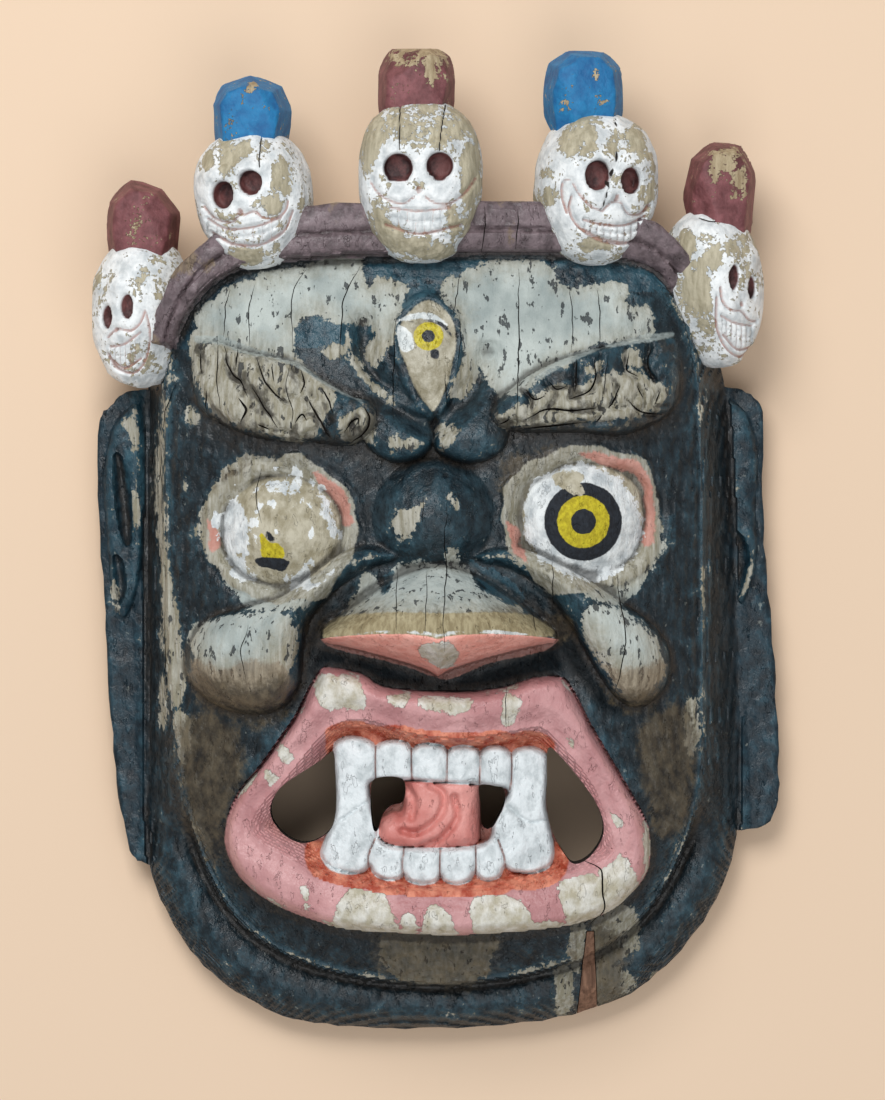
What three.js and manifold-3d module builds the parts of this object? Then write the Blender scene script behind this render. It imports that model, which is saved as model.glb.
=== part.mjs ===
// Carved wooden dance mask of a wrathful protector, with a crown of five skulls.
// It lies on its back: +Z comes out of the face, +Y runs up to the crown, +X is the viewer's right.
// Lengths are in millimetres. The origin is under the middle of the mask, on the plane of its back.
import * as THREE from "three";
import { mergeVertices } from "three/addons/utils/BufferGeometryUtils.js";
import Module from "manifold-3d";

// Driving dimensions
const maskHeight = 420; // chin rim to the top of the middle knob
const maskWidth = 295; // over both ear boards
const carvingDepth = 92; // tip of the nose above the rim
const rimThickness = 16; // edge of the block all round, and the ear boards
const wallThickness = 13; // wood left between the carved face and the hollow
const splintFoot = 10.3; // width of the repair splint at the rim
const splintHead = 3.6; // its width at the inner end
const splintLength = 44; // along the mask, measured past the rim
const splintStep = 0.7; // how far the splint sits below the carved surface
const fitGap = 0.3; // glue line on each side of the splint
const faceError = 1.85; // largest gap between the true carving and its facets
const hollowError = 2.2;
const skullError = 1.2;

// The carving is drawn at one unit to the millimetre for a mask of these sizes,
// so its forms are shares of the mask's own height, width and depth.
const drawn = { height: 420, width: 295, depth: 92 };
const across = maskWidth / drawn.width;
const along = maskHeight / drawn.height;
const outward = carvingDepth / drawn.depth;

const wasm = await Module();
wasm.setup();

// Small helpers
const clamp01 = (v) => Math.min(1, Math.max(0, v));
const mix = (a, b, t) => a + (b - a) * t;
const ease = (v) => {
  const t = clamp01(v);
  return t * t * (3 - 2 * t);
};
// A quarter round: 0 at the edge of a form, 1 once the depth is past the radius.
const quarterRound = (depth, radius) => {
  const t = 1 - clamp01(depth / radius);
  return Math.sqrt(1 - t * t);
};

// Closed outlines and open lines, each a smooth curve through a few points
function curveThrough(points, closed, steps) {
  const corners = points.map(([x, y]) => new THREE.Vector3(x, y, 0));
  const curve = new THREE.CatmullRomCurve3(corners, closed, "catmullrom", 0.5);
  return curve.getPoints(points.length * steps).map((p) => [p.x, p.y]);
}

function outline(points, steps = 2) {
  const ring = curveThrough(points, true, steps).slice(0, -1);
  const corners = ring.map(([x, y]) => new THREE.Vector2(x, y));
  if (THREE.ShapeUtils.isClockWise(corners)) ring.reverse();
  const box = new THREE.Box2().setFromPoints(corners);
  const middle = box.getCenter(new THREE.Vector2()).toArray();
  return { ring, box, middle };
}

const line = (points, steps = 4) => curveThrough(points, false, steps);

function distanceToStretch([ax, ay], [bx, by], x, y) {
  const t = ((x - ax) * (bx - ax) + (y - ay) * (by - ay)) / ((bx - ax) ** 2 + (by - ay) ** 2);
  return Math.hypot(x - mix(ax, bx, clamp01(t)), y - mix(ay, by, clamp01(t)));
}

const farOutside = 30;

// Distance in from an outline, negative outside it
function depthInside({ ring, box }, x, y) {
  const away = Math.max(box.min.x - x, x - box.max.x, box.min.y - y, y - box.max.y);
  if (away > farOutside) return -away;
  let nearest = Infinity;
  let inside = false;
  for (let i = 0, j = ring.length - 1; i < ring.length; j = i++) {
    const [ax, ay] = ring[j];
    const [bx, by] = ring[i];
    nearest = Math.min(nearest, distanceToStretch(ring[j], ring[i], x, y));
    if (ay > y !== by > y && x < ax + ((bx - ax) * (y - ay)) / (by - ay)) inside = !inside;
  }
  return inside ? nearest : -nearest;
}

// 1 on a line, falling to 0 at the given half width
function onLine(path, x, y, halfWidth) {
  let nearest = Infinity;
  for (let i = 1; i < path.length; i++) {
    nearest = Math.min(nearest, distanceToStretch(path[i - 1], path[i], x, y));
  }
  return ease(1 - nearest / halfWidth);
}

// How far an outline reaches from its middle at an angle
function reachAt({ ring, middle }, angle) {
  const dx = Math.cos(angle);
  const dy = Math.sin(angle);
  let far = 0;
  for (let i = 0, j = ring.length - 1; i < ring.length; j = i++) {
    const ax = ring[j][0] - middle[0];
    const ay = ring[j][1] - middle[1];
    const ex = ring[i][0] - ring[j][0];
    const ey = ring[i][1] - ring[j][1];
    const turn = dx * ey - dy * ex;
    if (Math.abs(turn) < 1e-9) continue;
    const share = (ax * dy - ay * dx) / turn;
    const out = (ax * ey - ay * ex) / turn;
    if (share >= -1e-9 && share <= 1 + 1e-9) far = Math.max(far, out);
  }
  return far;
}

// Squared radius inside a turned ellipse, 1 on its edge
function ellipseShare({ at, radii, turn = 0 }, x, y) {
  const angle = THREE.MathUtils.degToRad(turn);
  const dx = x - at[0];
  const dy = y - at[1];
  const u = (dx * Math.cos(angle) + dy * Math.sin(angle)) / radii[0];
  const v = (dy * Math.cos(angle) - dx * Math.sin(angle)) / radii[1];
  return u * u + v * v;
}

const mound = (form, x, y, power) => Math.max(0, 1 - ellipseShare(form, x, y)) ** power;

// Outlines of the block
const faceEdge = outline([
  [-115, 20], [-115.5, 58], [-111, 86], [-101, 104], [-84, 116], [-50, 120.5], [0, 122], [55, 122],
  [87, 117.5], [101, 104], [108, 84], [111, 55], [112, 0], [112, -70], [109.5, -108], [102, -134],
  [88, -157], [66, -174], [35, -184], [0, -187.5], [-36, -184], [-66, -174], [-86, -158],
  [-99, -136], [-107, -108], [-112, -68], [-114.5, -25],
]);
const footEdge = outline([
  [-125, 40], [-124, 78], [-115, 110], [-99, 128], [-80, 138], [-52, 143.5], [0, 145], [50, 144],
  [84, 139], [101, 129], [114, 108], [122, 78], [126, 40], [129, -40], [130, -110], [125.5, -143],
  [111.5, -168], [95, -186], [74, -199], [45, -206.5], [0, -210], [-32, -209.5], [-58, -206.5],
  [-79, -199], [-98, -186], [-112, -169], [-121, -150], [-125, -130], [-126, -60],
]);
const leftBoard = outline([
  [-118, 66], [-134, 65.5], [-145, 57.5], [-147.5, 46], [-147, 8], [-144.5, -40], [-140.5, -85],
  [-135.5, -123], [-132, -136], [-124, -139], [-115, -138], [-112, -60], [-112, 20],
], 1);
const rightBoard = outline([
  [115, 66], [127, 66], [137, 61], [140.5, 52], [141, 15], [144, -40], [147, -85], [147.5, -104],
  [146, -118], [138, -123.5], [128, -125], [114, -124], [110, -60], [110, 20],
], 1);

// The face: brows, nose, cheeks, lips, teeth and tongue
const leftBrow = outline([
  [-105, 76], [-102, 86], [-82, 81.5], [-66, 78], [-50, 69.5], [-38, 61], [-28, 58], [-26, 50],
  [-33, 41], [-52, 41.5], [-74, 43], [-92, 49], [-102, 59],
]);
const rightBrow = outline([
  [104, 76], [101, 87], [80, 85], [64, 81], [50, 76], [36, 67], [25, 57], [26, 48.5], [40, 45],
  [60, 45.5], [80, 46], [96, 53], [103, 64],
]);
const noseEdge = outline([
  [-14, -7], [0, -3], [15, -7], [28, -16], [41, -25], [49, -36], [49, -42.5], [36, -47.5],
  [20, -51], [4, -57.5], [-10, -52.5], [-26, -48.5], [-40, -45], [-48.5, -40.5], [-46, -31], [-30, -19],
]);
const thirdEye = outline([
  [-4, 104.5], [-13, 99], [-18, 88], [-15, 74], [-9, 62], [-3, 53], [3, 62], [8, 75], [9, 88], [4, 99],
]);
const lipOuter = outline([
  [-50, -54.5], [-38, -55], [-24, -61], [-8, -63.5], [14, -63.5], [32, -60], [52, -57], [63, -74],
  [76, -97], [88, -117], [90.5, -132], [84, -148], [64, -161], [28, -166], [-16, -166.5],
  [-52, -161.5], [-74, -152], [-88, -137], [-91, -121], [-84, -105], [-70, -87], [-58, -68],
]);
const lipInner = outline([
  [-50, -81.5], [-36, -74], [-20, -77], [2, -81.5], [24, -80], [42, -77.5], [52, -83], [63, -98],
  [73, -117], [75.5, -133], [67, -143], [44, -147], [0, -149.5], [-36, -146.5], [-62, -138],
  [-78, -127], [-79, -116], [-70, -104],
]);
const leftCornerHole = outline([
  [-44.5, -89], [-56, -96.5], [-68, -106], [-70.5, -116], [-64, -125.5], [-54, -128], [-46, -123],
  [-43.5, -110],
]);
const rightCornerHole = outline([
  [46.8, -87.5], [56, -95.5], [66, -109], [69.5, -121], [64, -133], [58, -137], [51, -129],
  [47, -116], [46.5, -100],
]);
const leftTongueGap = outline([
  [-27, -100.5], [-15, -100.5], [-14.8, -110.5], [-22.5, -113.5], [-26, -121], [-28.5, -105],
]);
const rightTongueGap = outline([
  [18, -103], [27, -103.5], [28, -109], [24.5, -121.5], [18.6, -122],
]);
const tongueEdge = outline([
  [-14, -99], [2, -100], [16.5, -102], [18, -115], [16, -127], [2, -130.5], [-14, -130],
  [-23.5, -126], [-23, -117], [-15, -112.5],
]);

// A block with its corners taken off: left, right, top, bottom
function block([left, right, top, bottom]) {
  const c = 3.2;
  const ring = [
    [left + c, bottom], [right - c, bottom], [right, bottom + c], [right, top - c],
    [right - c, top], [left + c, top], [left, top - c], [left, bottom + c],
  ];
  const box = new THREE.Box2(new THREE.Vector2(left, bottom), new THREE.Vector2(right, top));
  return { ring, box, middle: [(left + right) / 2, (top + bottom) / 2] };
}

const teeth = [
  [-44.4, -26.5, -84, -122], [-25.6, -11.4, -85, -99.8], [-10.6, 3.6, -86, -100.4],
  [4.6, 17.4, -87, -101.4], [18.3, 30.6, -87, -103.2], [31.4, 46.8, -87, -124],
  [-49, -29.6, -118, -139.6], [-28.8, -15.6, -130, -144], [-14.8, 0.3, -131, -145.6],
  [1.2, 15.8, -131, -145.6], [16.6, 27.8, -130, -144.6], [28.6, 48.8, -118, -140.4],
].map(block);
const gums = [
  [-47, 49, -77, -93], [-58, 55, -128, -150.5],
].map(block);

const leftEye = { at: [-66, 5], radii: [26, 23.5] };
const rightEye = { at: [62, 9.5], radii: [26, 24.5] };
const eyes = [leftEye, rightEye];
const lidSides = 18;
const lidReach = [1.3, 1.04]; // outer and inner edge, in eyeball radii
const lids = eyes.map(({ at, radii }) =>
  lidReach.map((grow) => {
    const turns = Array.from({ length: lidSides }, (_, k) => (k / lidSides) * 2 * Math.PI);
    const ring = turns.map((a) => [
      at[0] + grow * radii[0] * Math.cos(a),
      at[1] + grow * radii[1] * Math.sin(a),
    ]);
    return { ring, middle: at };
  }));
const browLobes = [
  { at: [-14, 43], radii: [15, 14] },
  { at: [14, 43], radii: [15, 13] },
];
const noseRoot = { at: [-2, 12], radii: [22, 21] };
const cheekPods = [
  outline([
    [-12, -6], [-22, -1], [-42, -5], [-66, -22.5], [-97, -32], [-107.5, -50], [-98, -68], [-82, -73.5],
    [-67, -71.5], [-58, -59], [-54, -34], [-40, -19],
  ]),
  outline([
    [12, -6], [22, -1.5], [42, -4.5], [66, -17], [92, -35], [100, -51], [91, -68.5], [78, -69.5],
    [67, -55], [54, -33], [38, -17],
  ]),
];
const muzzleHollow = { at: [0, -52], radii: [72, 40] };

const furrows = [
  line([[-5, 50], [-22, 64], [-31, 80], [-31, 96]]),
  line([[3, 52], [17, 68], [22, 84]]),
];
const veins = [line([[-16, 56], [-29, 67], [-35.5, 78], [-37.5, 92]])];
const tongueCurl = line([[-2, -103], [3, -112], [0, -122], [-9, -127]]);
const tongueRoll = line([[4, -108], [9, -117], [5, -126]]);

// The ears stand a little proud of their boards, with two scooped hollows each
const ears = [
  outline([
    [-128, 57], [-140, 50], [-144, 25], [-143, 0], [-140.5, -24], [-135, -33], [-130, -22],
    [-127, 0], [-126, 30],
  ]),
  outline([
    [115, 58], [127, 60], [135, 50], [137, 25], [137, 0], [134, -18], [128, -28], [121, -20],
    [117, -2], [115, 15], [112, 40],
  ]),
];
const earScoops = [
  outline([[-139, 38], [-134, 34], [-131, 15], [-133, 0], [-138.5, 12]], 1),
  outline([[-140, -8], [-135.5, -10], [-134, -22], [-137, -28], [-139.5, -22]], 1),
  outline([[115, 50], [120, 48], [123.5, 28], [121, 11], [116, 20]], 1),
  outline([[122, 4], [127, 2], [130, -10], [127.5, -22], [123, -14]], 1),
];

// Heights of the carving above the rim, in drawn units
const level = {
  chinEdge: 19, sideEdge: 29, crownEdge: 36, dome: 24, domeReach: 62,
  band: 47, bandGroove: 4.5, bandRound: 3,
  brow: 10, browLean: -0.28, lobe: 13, noseRoot: 17, cheek: 16,
  socket: 10, eyeball: 16, lid: 4.5, thirdEye: 4, furrow: 4.5, vein: 2.4,
  muzzle: 9, noseTop: 92, noseSpread: 26, noseFoot: 42, lip: 62, lipFall: 17, mouth: 30,
  gum: 44, tooth: 52, toothFall: 6, tongue: 52, ear: 3.6, scoop: 4.5,
};

function edgeLevel(y) {
  const low = ease((-96 - y) / 70);
  const high = ease((y - 60) / 50);
  return mix(mix(level.sideEdge, level.chinEdge, low), level.crownEdge, high);
}

function domeAt(x, y) {
  const inFace = Math.max(0, depthInside(faceEdge, x, y));
  const rise = Math.sin((clamp01(inFace / level.domeReach) * Math.PI) / 2);
  const flatter = mix(1, 0.7, ease((y - 60) / 50));
  return edgeLevel(y) + level.dome * rise * flatter;
}

// A cheek swells from the nose out to a round end
const podRound = 15;
const podFoot = 6; // how far its edge starts below the face
function podTop(pod, x, y) {
  const swell = mix(0.62, 1, ease((Math.abs(x) - 22) / 40));
  const share = quarterRound(depthInside(pod, x, y), podRound);
  return domeAt(x, y) - podFoot + (level.cheek + podFoot) * swell * share;
}

// The face itself, with its eyes, cheeks and sunken mouth
function faceAt(x, y) {
  let z = domeAt(x, y);
  for (const furrow of furrows) z -= level.furrow * onLine(furrow, x, y, 8);
  for (const vein of veins) z += level.vein * onLine(vein, x, y, 5);
  for (const lobe of browLobes) z += level.lobe * mound(lobe, x, y, 0.7);
  for (const eye of eyes) {
    const wide = { at: eye.at, radii: [eye.radii[0] + 11, eye.radii[1] + 10] };
    z -= level.socket * mound(wide, x, y, 1);
    z += level.eyeball * mound(eye, x, y, 0.7);
  }
  z -= level.muzzle * mound(muzzleHollow, x, y, 1);
  z += level.noseRoot * mound(noseRoot, x, y, 0.7);
  for (const pod of cheekPods) z = Math.max(z, podTop(pod, x, y));
  return mix(z, level.mouth, ease((depthInside(lipInner, x, y) + 8) / 14));
}

// Forms that stand on the face, each with the height of its top
const browTop = (brow) => (x, y) => {
  const proud = level.brow + level.browLean * (y - 62);
  return domeAt(x, y) - 2 + (proud + 2) * quarterRound(depthInside(brow, x, y), 8);
};
const lidTop = (x, y, share) =>
  domeAt(x, y) - level.socket * 0.55 + level.lid * (1 - (2 * share - 1) ** 2);
const thirdEyeTop = (x, y) => {
  const edge = level.thirdEye * quarterRound(depthInside(thirdEye, x, y), 3);
  return domeAt(x, y) - 1 + edge + 2.4 * mound({ at: [-4, 87], radii: [12, 15] }, x, y, 1);
};
const noseTop = (x, y) => {
  const side = clamp01(Math.abs(x) / 50);
  const upper = -4 - 33 * side ** 1.4;
  const lower = -57.5 + 15 * side ** 0.75;
  const share = clamp01((y - lower) / (upper - lower));
  const crest = level.noseTop - level.noseSpread * side * side;
  const under = quarterRound(share, 0.3);
  const over = Math.cos((Math.PI / 2) * clamp01((share - 0.3) / 0.7)) ** 0.8;
  return level.noseFoot + (crest - level.noseFoot) * Math.min(under, over);
};
const lipRound = 7;
const lipTop = (x, y) => {
  const crest = level.lip - level.lipFall * (x / 90) ** 2 - 5 * ease((-y - 120) / 45);
  const outerRound = 13 * (1 - quarterRound(depthInside(lipOuter, x, y), lipRound));
  const innerRound = 11 * (1 - quarterRound(-depthInside(lipInner, x, y), lipRound));
  return crest - outerRound - innerRound;
};
const toothFall = (x) => level.toothFall * (x / 45) ** 2;
const gumTop = (gum) => (x, y) =>
  level.gum - toothFall(x) - 7 * (1 - quarterRound(depthInside(gum, x, y), 4));
const toothTop = (tooth) => (x, y) =>
  level.tooth - toothFall(x) - 6 * (1 - quarterRound(depthInside(tooth, x, y), 3));
const tongueTop = (x, y) =>
  mix(level.mouth + 8, level.tongue, quarterRound(depthInside(tongueEdge, x, y), 7));
const earTop = (ear) => (x, y) => level.ear * quarterRound(depthInside(ear, x, y), 3);
const boardTop = (board) => (x, y) => 1.5 * quarterRound(depthInside(board, x, y), 3) - 1.5;

// The rim round the face: a sloping flange at the chin and sides, a grooved band at the crown
const rimSteps = [0, 0.1, 0.42, 0.5, 0.58, 0.9, 1];
const chinLevels = [-3, 0, 8, 10, 9, 6, level.chinEdge];
function rimLevel(step, y) {
  const share = rimSteps[step];
  const grooved = level.bandGroove * Math.max(0, 1 - Math.abs(share - 0.5) / 0.08);
  const rounded = level.bandRound * Math.max(0, Math.abs(share - 0.5) / 0.1 - 4);
  const side = mix(level.sideEdge * share, chinLevels[step], ease((-105 - y) / 30));
  return mix(side, level.band - grooved - rounded, ease((y - 70) / 10));
}

// From drawn units to the mask's own size
const place = (x, y, z) => new THREE.Vector3(x * across, y * along, rimThickness + outward * z);

// An adaptive surface: a square grid cut into right triangles, fine only where the form needs it
function adaptiveSurface(size, pointAt, largestError) {
  const grid = size + 1;
  const points = [];
  for (let j = 0; j < grid; j++) {
    for (let i = 0; i < grid; i++) points.push(pointAt(i / size, j / size));
  }
  const at = (i, j) => points[j * grid + i];
  const facing = (i, j) => {
    const east = at(Math.min(i + 1, size), j).clone().sub(at(Math.max(i - 1, 0), j));
    const north = at(i, Math.min(j + 1, size)).clone().sub(at(i, Math.max(j - 1, 0)));
    return east.cross(north).normalize();
  };
  const errors = new Float32Array(grid * grid);
  const count = size * size * 2 - 2;
  const parents = count - size * size;
  const chord = new THREE.Vector3();
  for (let k = count - 1; k >= 0; k--) {
    let id = k + 2;
    let [ax, ay, bx, by, cx, cy] = id & 1 ? [0, 0, size, size, size, 0] : [size, size, 0, 0, 0, size];
    while ((id >>= 1) > 1) {
      const mx = (ax + bx) >> 1;
      const my = (ay + by) >> 1;
      if (id & 1) [bx, by, ax, ay] = [ax, ay, cx, cy];
      else [ax, ay, bx, by] = [bx, by, cx, cy];
      [cx, cy] = [mx, my];
    }
    const mx = (ax + bx) >> 1;
    const my = (ay + by) >> 1;
    const middle = my * grid + mx;
    chord.copy(at(ax, ay)).add(at(bx, by)).multiplyScalar(0.5).sub(at(mx, my));
    let error = Math.abs(chord.dot(facing(mx, my)));
    if (k < parents) {
      const left = ((ay + cy) >> 1) * grid + ((ax + cx) >> 1);
      const right = ((by + cy) >> 1) * grid + ((bx + cx) >> 1);
      error = Math.max(error, errors[left], errors[right]);
    }
    errors[middle] = Math.max(errors[middle], error);
  }
  const faces = [];
  const split = (ax, ay, bx, by, cx, cy) => {
    const mx = (ax + bx) >> 1;
    const my = (ay + by) >> 1;
    if (Math.abs(ax - cx) + Math.abs(ay - cy) > 1 && errors[my * grid + mx] > largestError) {
      split(cx, cy, ax, ay, mx, my);
      split(bx, by, cx, cy, mx, my);
    } else {
      faces.push([ay * grid + ax, by * grid + bx, cy * grid + cx]);
    }
  };
  split(0, 0, size, size, size, 0);
  split(size, size, 0, 0, 0, size);
  return { points, faces: faces.map(([a, b, c]) => [a, c, b]) };
}

function solidFrom(points, tris) {
  const geometry = new THREE.BufferGeometry().setFromPoints(points);
  geometry.setIndex(tris.flat());
  return solidOf(geometry);
}

// A closed three.js geometry as a solid that can be joined and cut
function solidOf(geometry) {
  const bare = geometry.clone();
  for (const name of ["normal", "uv"]) bare.deleteAttribute(name);
  const merged = mergeVertices(bare, 1e-4);
  const mesh = new wasm.Mesh({
    numProp: 3,
    vertProperties: new Float32Array(merged.attributes.position.array),
    triVerts: new Uint32Array(merged.index.array),
  });
  return new wasm.Manifold(mesh);
}

function geometryOf(solid) {
  const mesh = solid.getMesh();
  const geometry = new THREE.BufferGeometry();
  geometry.setAttribute("position", new THREE.BufferAttribute(mesh.vertProperties, mesh.numProp));
  geometry.setIndex(new THREE.BufferAttribute(mesh.triVerts, 1));
  geometry.computeVertexNormals();
  return geometry;
}

const joined = (solids) => solids.reduce((whole, solid) => whole.add(solid));

// A stack of rings closed at both ends, the last ring to the point over it
function ringStack(rings, top, bottom) {
  const count = rings[0].length;
  const points = [...rings.flat(), top, bottom];
  const tris = [];
  for (let k = 0; k < count; k++) {
    const next = (k + 1) % count;
    for (let r = 1; r < rings.length; r++) {
      const outer = (r - 1) * count;
      const inner = r * count;
      tris.push([outer + k, outer + next, inner + next], [outer + k, inner + next, inner + k]);
    }
    const last = (rings.length - 1) * count;
    tris.push([last + k, last + next, points.length - 2], [next, k, points.length - 1]);
  }
  return solidFrom(points, tris);
}

// A form raised on an outline: rings at shares of the way out, then a wall down to its foot
function raised(form, shares, topAt, foot = 0) {
  const [cx, cy] = form.middle;
  const rings = shares.map((share) =>
    form.ring.map(([x, y]) => {
      const px = mix(cx, x, share);
      const py = mix(cy, y, share);
      return place(px, py, topAt(px, py));
    }),
  );
  rings.unshift(form.ring.map(([x, y]) => place(x, y, foot)));
  return ringStack(rings, place(cx, cy, topAt(cx, cy)), place(cx, cy, foot));
}

// A form between two outlines that share a middle
function raisedBetween(outer, inner, count, shares, topAt, foot) {
  const [cx, cy] = inner.middle;
  const ringAt = (share, level) =>
    Array.from({ length: count }, (_, k) => {
      const angle = (k / count) * 2 * Math.PI;
      const far = mix(reachAt({ ...outer, middle: [cx, cy] }, angle), reachAt(inner, angle), share);
      const x = cx + far * Math.cos(angle);
      const y = cy + far * Math.sin(angle);
      return place(x, y, level ?? topAt(x, y, share));
    });
  const rings = [ringAt(0, foot), ...shares.map((share) => ringAt(share)), ringAt(1, foot)];
  const points = rings.flat();
  const tris = [];
  rings.forEach((_, r) => {
    const near = r * count;
    const far = ((r + 1) % rings.length) * count;
    for (let k = 0; k < count; k++) {
      const next = (k + 1) % count;
      tris.push([near + k, near + next, far + next]);
      tris.push([near + k, far + next, far + k]);
    }
  });
  return solidFrom(points, tris);
}

const prism = (form, low, high) => raised(form, [1], () => high, low);

// Turns a square into a round patch: (0.5, 0.5) is its middle, the border its rim
function roundPatch(u, v) {
  const p = 2 * u - 1;
  const q = 2 * v - 1;
  return [p * Math.sqrt(1 - (q * q) / 2), q * Math.sqrt(1 - (p * p) / 2)];
}

// Closes an adaptive patch behind, down a wall if its foot is given, and to one point
function closedPatch({ points, faces }, rearPoint, footOf) {
  const all = [...points, rearPoint];
  const rear = points.length;
  const sides = new Set(faces.flatMap(([a, b, c]) => [`${a},${b}`, `${b},${c}`, `${c},${a}`]));
  const feet = new Map();
  const foot = (v) => {
    if (!footOf) return v;
    if (!feet.has(v)) feet.set(v, all.push(footOf(points[v])) - 1);
    return feet.get(v);
  };
  const tris = [...faces];
  for (const [a, b, c] of faces) {
    for (const [from, to] of [[a, b], [b, c], [c, a]]) {
      if (sides.has(`${to},${from}`)) continue;
      if (footOf) tris.push([to, from, foot(from)], [to, foot(from), foot(to)]);
      tris.push([foot(to), foot(from), rear]);
    }
  }
  return solidFrom(all, tris);
}

// A patch spread over an outline less an inset, with its own height at each point
function patchOver(form, inset, grid, error, heightAt, foot) {
  const [cx, cy] = form.middle;
  const pointAt = (u, v) => {
    const [x, y] = roundPatch(u, v);
    const share = Math.hypot(x, y);
    const angle = Math.atan2(y, x);
    const far = share * (reachAt(form, angle) - inset);
    const px = cx + far * Math.cos(angle);
    const py = cy + far * Math.sin(angle);
    return place(px, py, heightAt(px, py));
  };
  const footOf = (p) => new THREE.Vector3(p.x, p.y, foot);
  const middle = new THREE.Vector3(cx * across, cy * along, foot);
  return closedPatch(adaptiveSurface(grid, pointAt, error), middle, footOf);
}

const overTop = carvingDepth + 20; // drawn level clear of everything
const underneath = -2 * rimThickness; // and one clear below the back
const back = -rimThickness / outward; // drawn level of the back itself
const sunk = { face: 2, ear: -2, lip: 8, feature: 20, highFeature: 30 }; // feet of forms, inside the wood
const rimSides = 46;
const lipSides = 40;

function rimSolid() {
  const middle = faceEdge.middle;
  const foot = { ...footEdge, middle };
  const ringAt = (step, drop) =>
    Array.from({ length: rimSides }, (_, k) => {
      const angle = (k / rimSides) * 2 * Math.PI;
      const far = mix(reachAt(foot, angle), reachAt(faceEdge, angle), rimSteps[step]);
      const x = middle[0] + far * Math.cos(angle);
      const y = middle[1] + far * Math.sin(angle);
      return place(x, y, drop ?? rimLevel(step, y));
    });
  const rings = [ringAt(0, back), ...rimSteps.map((_, step) => ringAt(step))];
  return ringStack(rings, place(...middle, sunk.feature), place(...middle, back));
}

function boardsSolid() {
  const boards = [leftBoard, rightBoard].map((board) =>
    raised(board, [1, 0.93], boardTop(board), back));
  const lobes = ears.map((ear) => raised(ear, [1, 0.8], earTop(ear), sunk.ear));
  const scoops = earScoops.map((scoop) => prism(scoop, level.ear - level.scoop, overTop));
  return joined([...boards, ...lobes]).subtract(joined(scoops));
}

function faceSolid() {
  return patchOver(faceEdge, 0, 128, faceError, faceAt, sunk.face);
}

function featureSolids() {
  const brows = [leftBrow, rightBrow].map((brow) => raised(brow, [1, 0.85, 0.5], browTop(brow), sunk.feature));
  const lips = raisedBetween(lipOuter, lipInner, lipSides, [0, 0.2, 0.5, 0.8, 1], lipTop, sunk.lip);
  const mouthParts = [
    ...gums.map((gum) => raised(gum, [1, 0.86], gumTop(gum), sunk.feature)),
    ...teeth.map((tooth) => raised(tooth, [1, 0.62], toothTop(tooth), sunk.feature)),
    raised(tongueEdge, [1, 0.8, 0.4], tongueTop, sunk.feature),
  ];
  return joined([
    ...brows,
    ...lids.map(([outer, inner]) =>
      raisedBetween(outer, inner, lidSides, [0, 0.5, 1], lidTop, sunk.feature)),
    raised(thirdEye, [1, 0.8, 0.4], thirdEyeTop, sunk.highFeature),
    raised(noseEdge, [1, 0.9, 0.7, 0.4], noseTop, sunk.highFeature),
    lips,
    ...mouthParts,
  ]);
}

// The hollow keeps at least one wall thickness behind the face, and is smoother than it
function hollowSolid() {
  const ceiling = (x, y) => {
    const behindEyes = Math.max(0, ...eyes.map(({ at }) => mound({ at, radii: [52, 50] }, x, y, 1)));
    const behindNose = mound({ at: [0, -38], radii: [60, 45] }, x, y, 1);
    const face = domeAt(x, y) - 6 * behindEyes - 8 * behindNose - 3;
    const mouth = ease((depthInside(lipOuter, x, y) + 12) / 26);
    return mix(face, Math.min(face, level.mouth), mouth) - wallThickness / outward;
  };
  return patchOver(faceEdge, wallThickness, 32, hollowError, ceiling, -rimThickness);
}

// Skulls of the crown. Each is a head on its own axes: x across, y up, z out of its face.
const skulls = [
  { name: "middle", at: [-7.5, 152.5, 52], size: [53, 69, 50], yaw: 0, roll: 0,
    knobAt: [-9.2, 196.5, 50], knob: [31.5, 27, 30] },
  { name: "left", at: [-78, 145.5, 50], size: [49, 60, 46], yaw: -20, roll: 9,
    knobAt: [-79.3, 184, 49], knob: [31.5, 28, 30] },
  { name: "right", at: [67, 150, 50], size: [51, 65, 48], yaw: 20, roll: -6,
    knobAt: [62.3, 192.6, 49], knob: [32.5, 31, 30] },
  { name: "far left", at: [-124, 98, 37], size: [44, 64, 42], yaw: -48, roll: 0,
    knobAt: [-126.3, 138, 37], knob: [29.5, 31.5, 28] },
  { name: "far right", at: [119, 108, 37], size: [43, 68, 42], yaw: 46, roll: 6,
    knobAt: [120.7, 152.5, 38], knob: [29.5, 34, 28] },
];
const drawnRim = 16; // rim level that the heads' heights were drawn from
const skullWrap = 118; // degrees from the face to the flat back
const knobSquareness = 0.68;
const skullForm = {
  squareness: 0.86, jawTaper: 0.16, socketAt: [0.34, 0.07], socketRadius: 0.22, socketDepth: 0.3,
  noseDepth: 0.08, browRise: 0.05, lipLine: -0.29, lipSag: 0.62, grooveDepth: 0.07,
  biteLine: -0.66, biteSag: 0.34,
};

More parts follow.
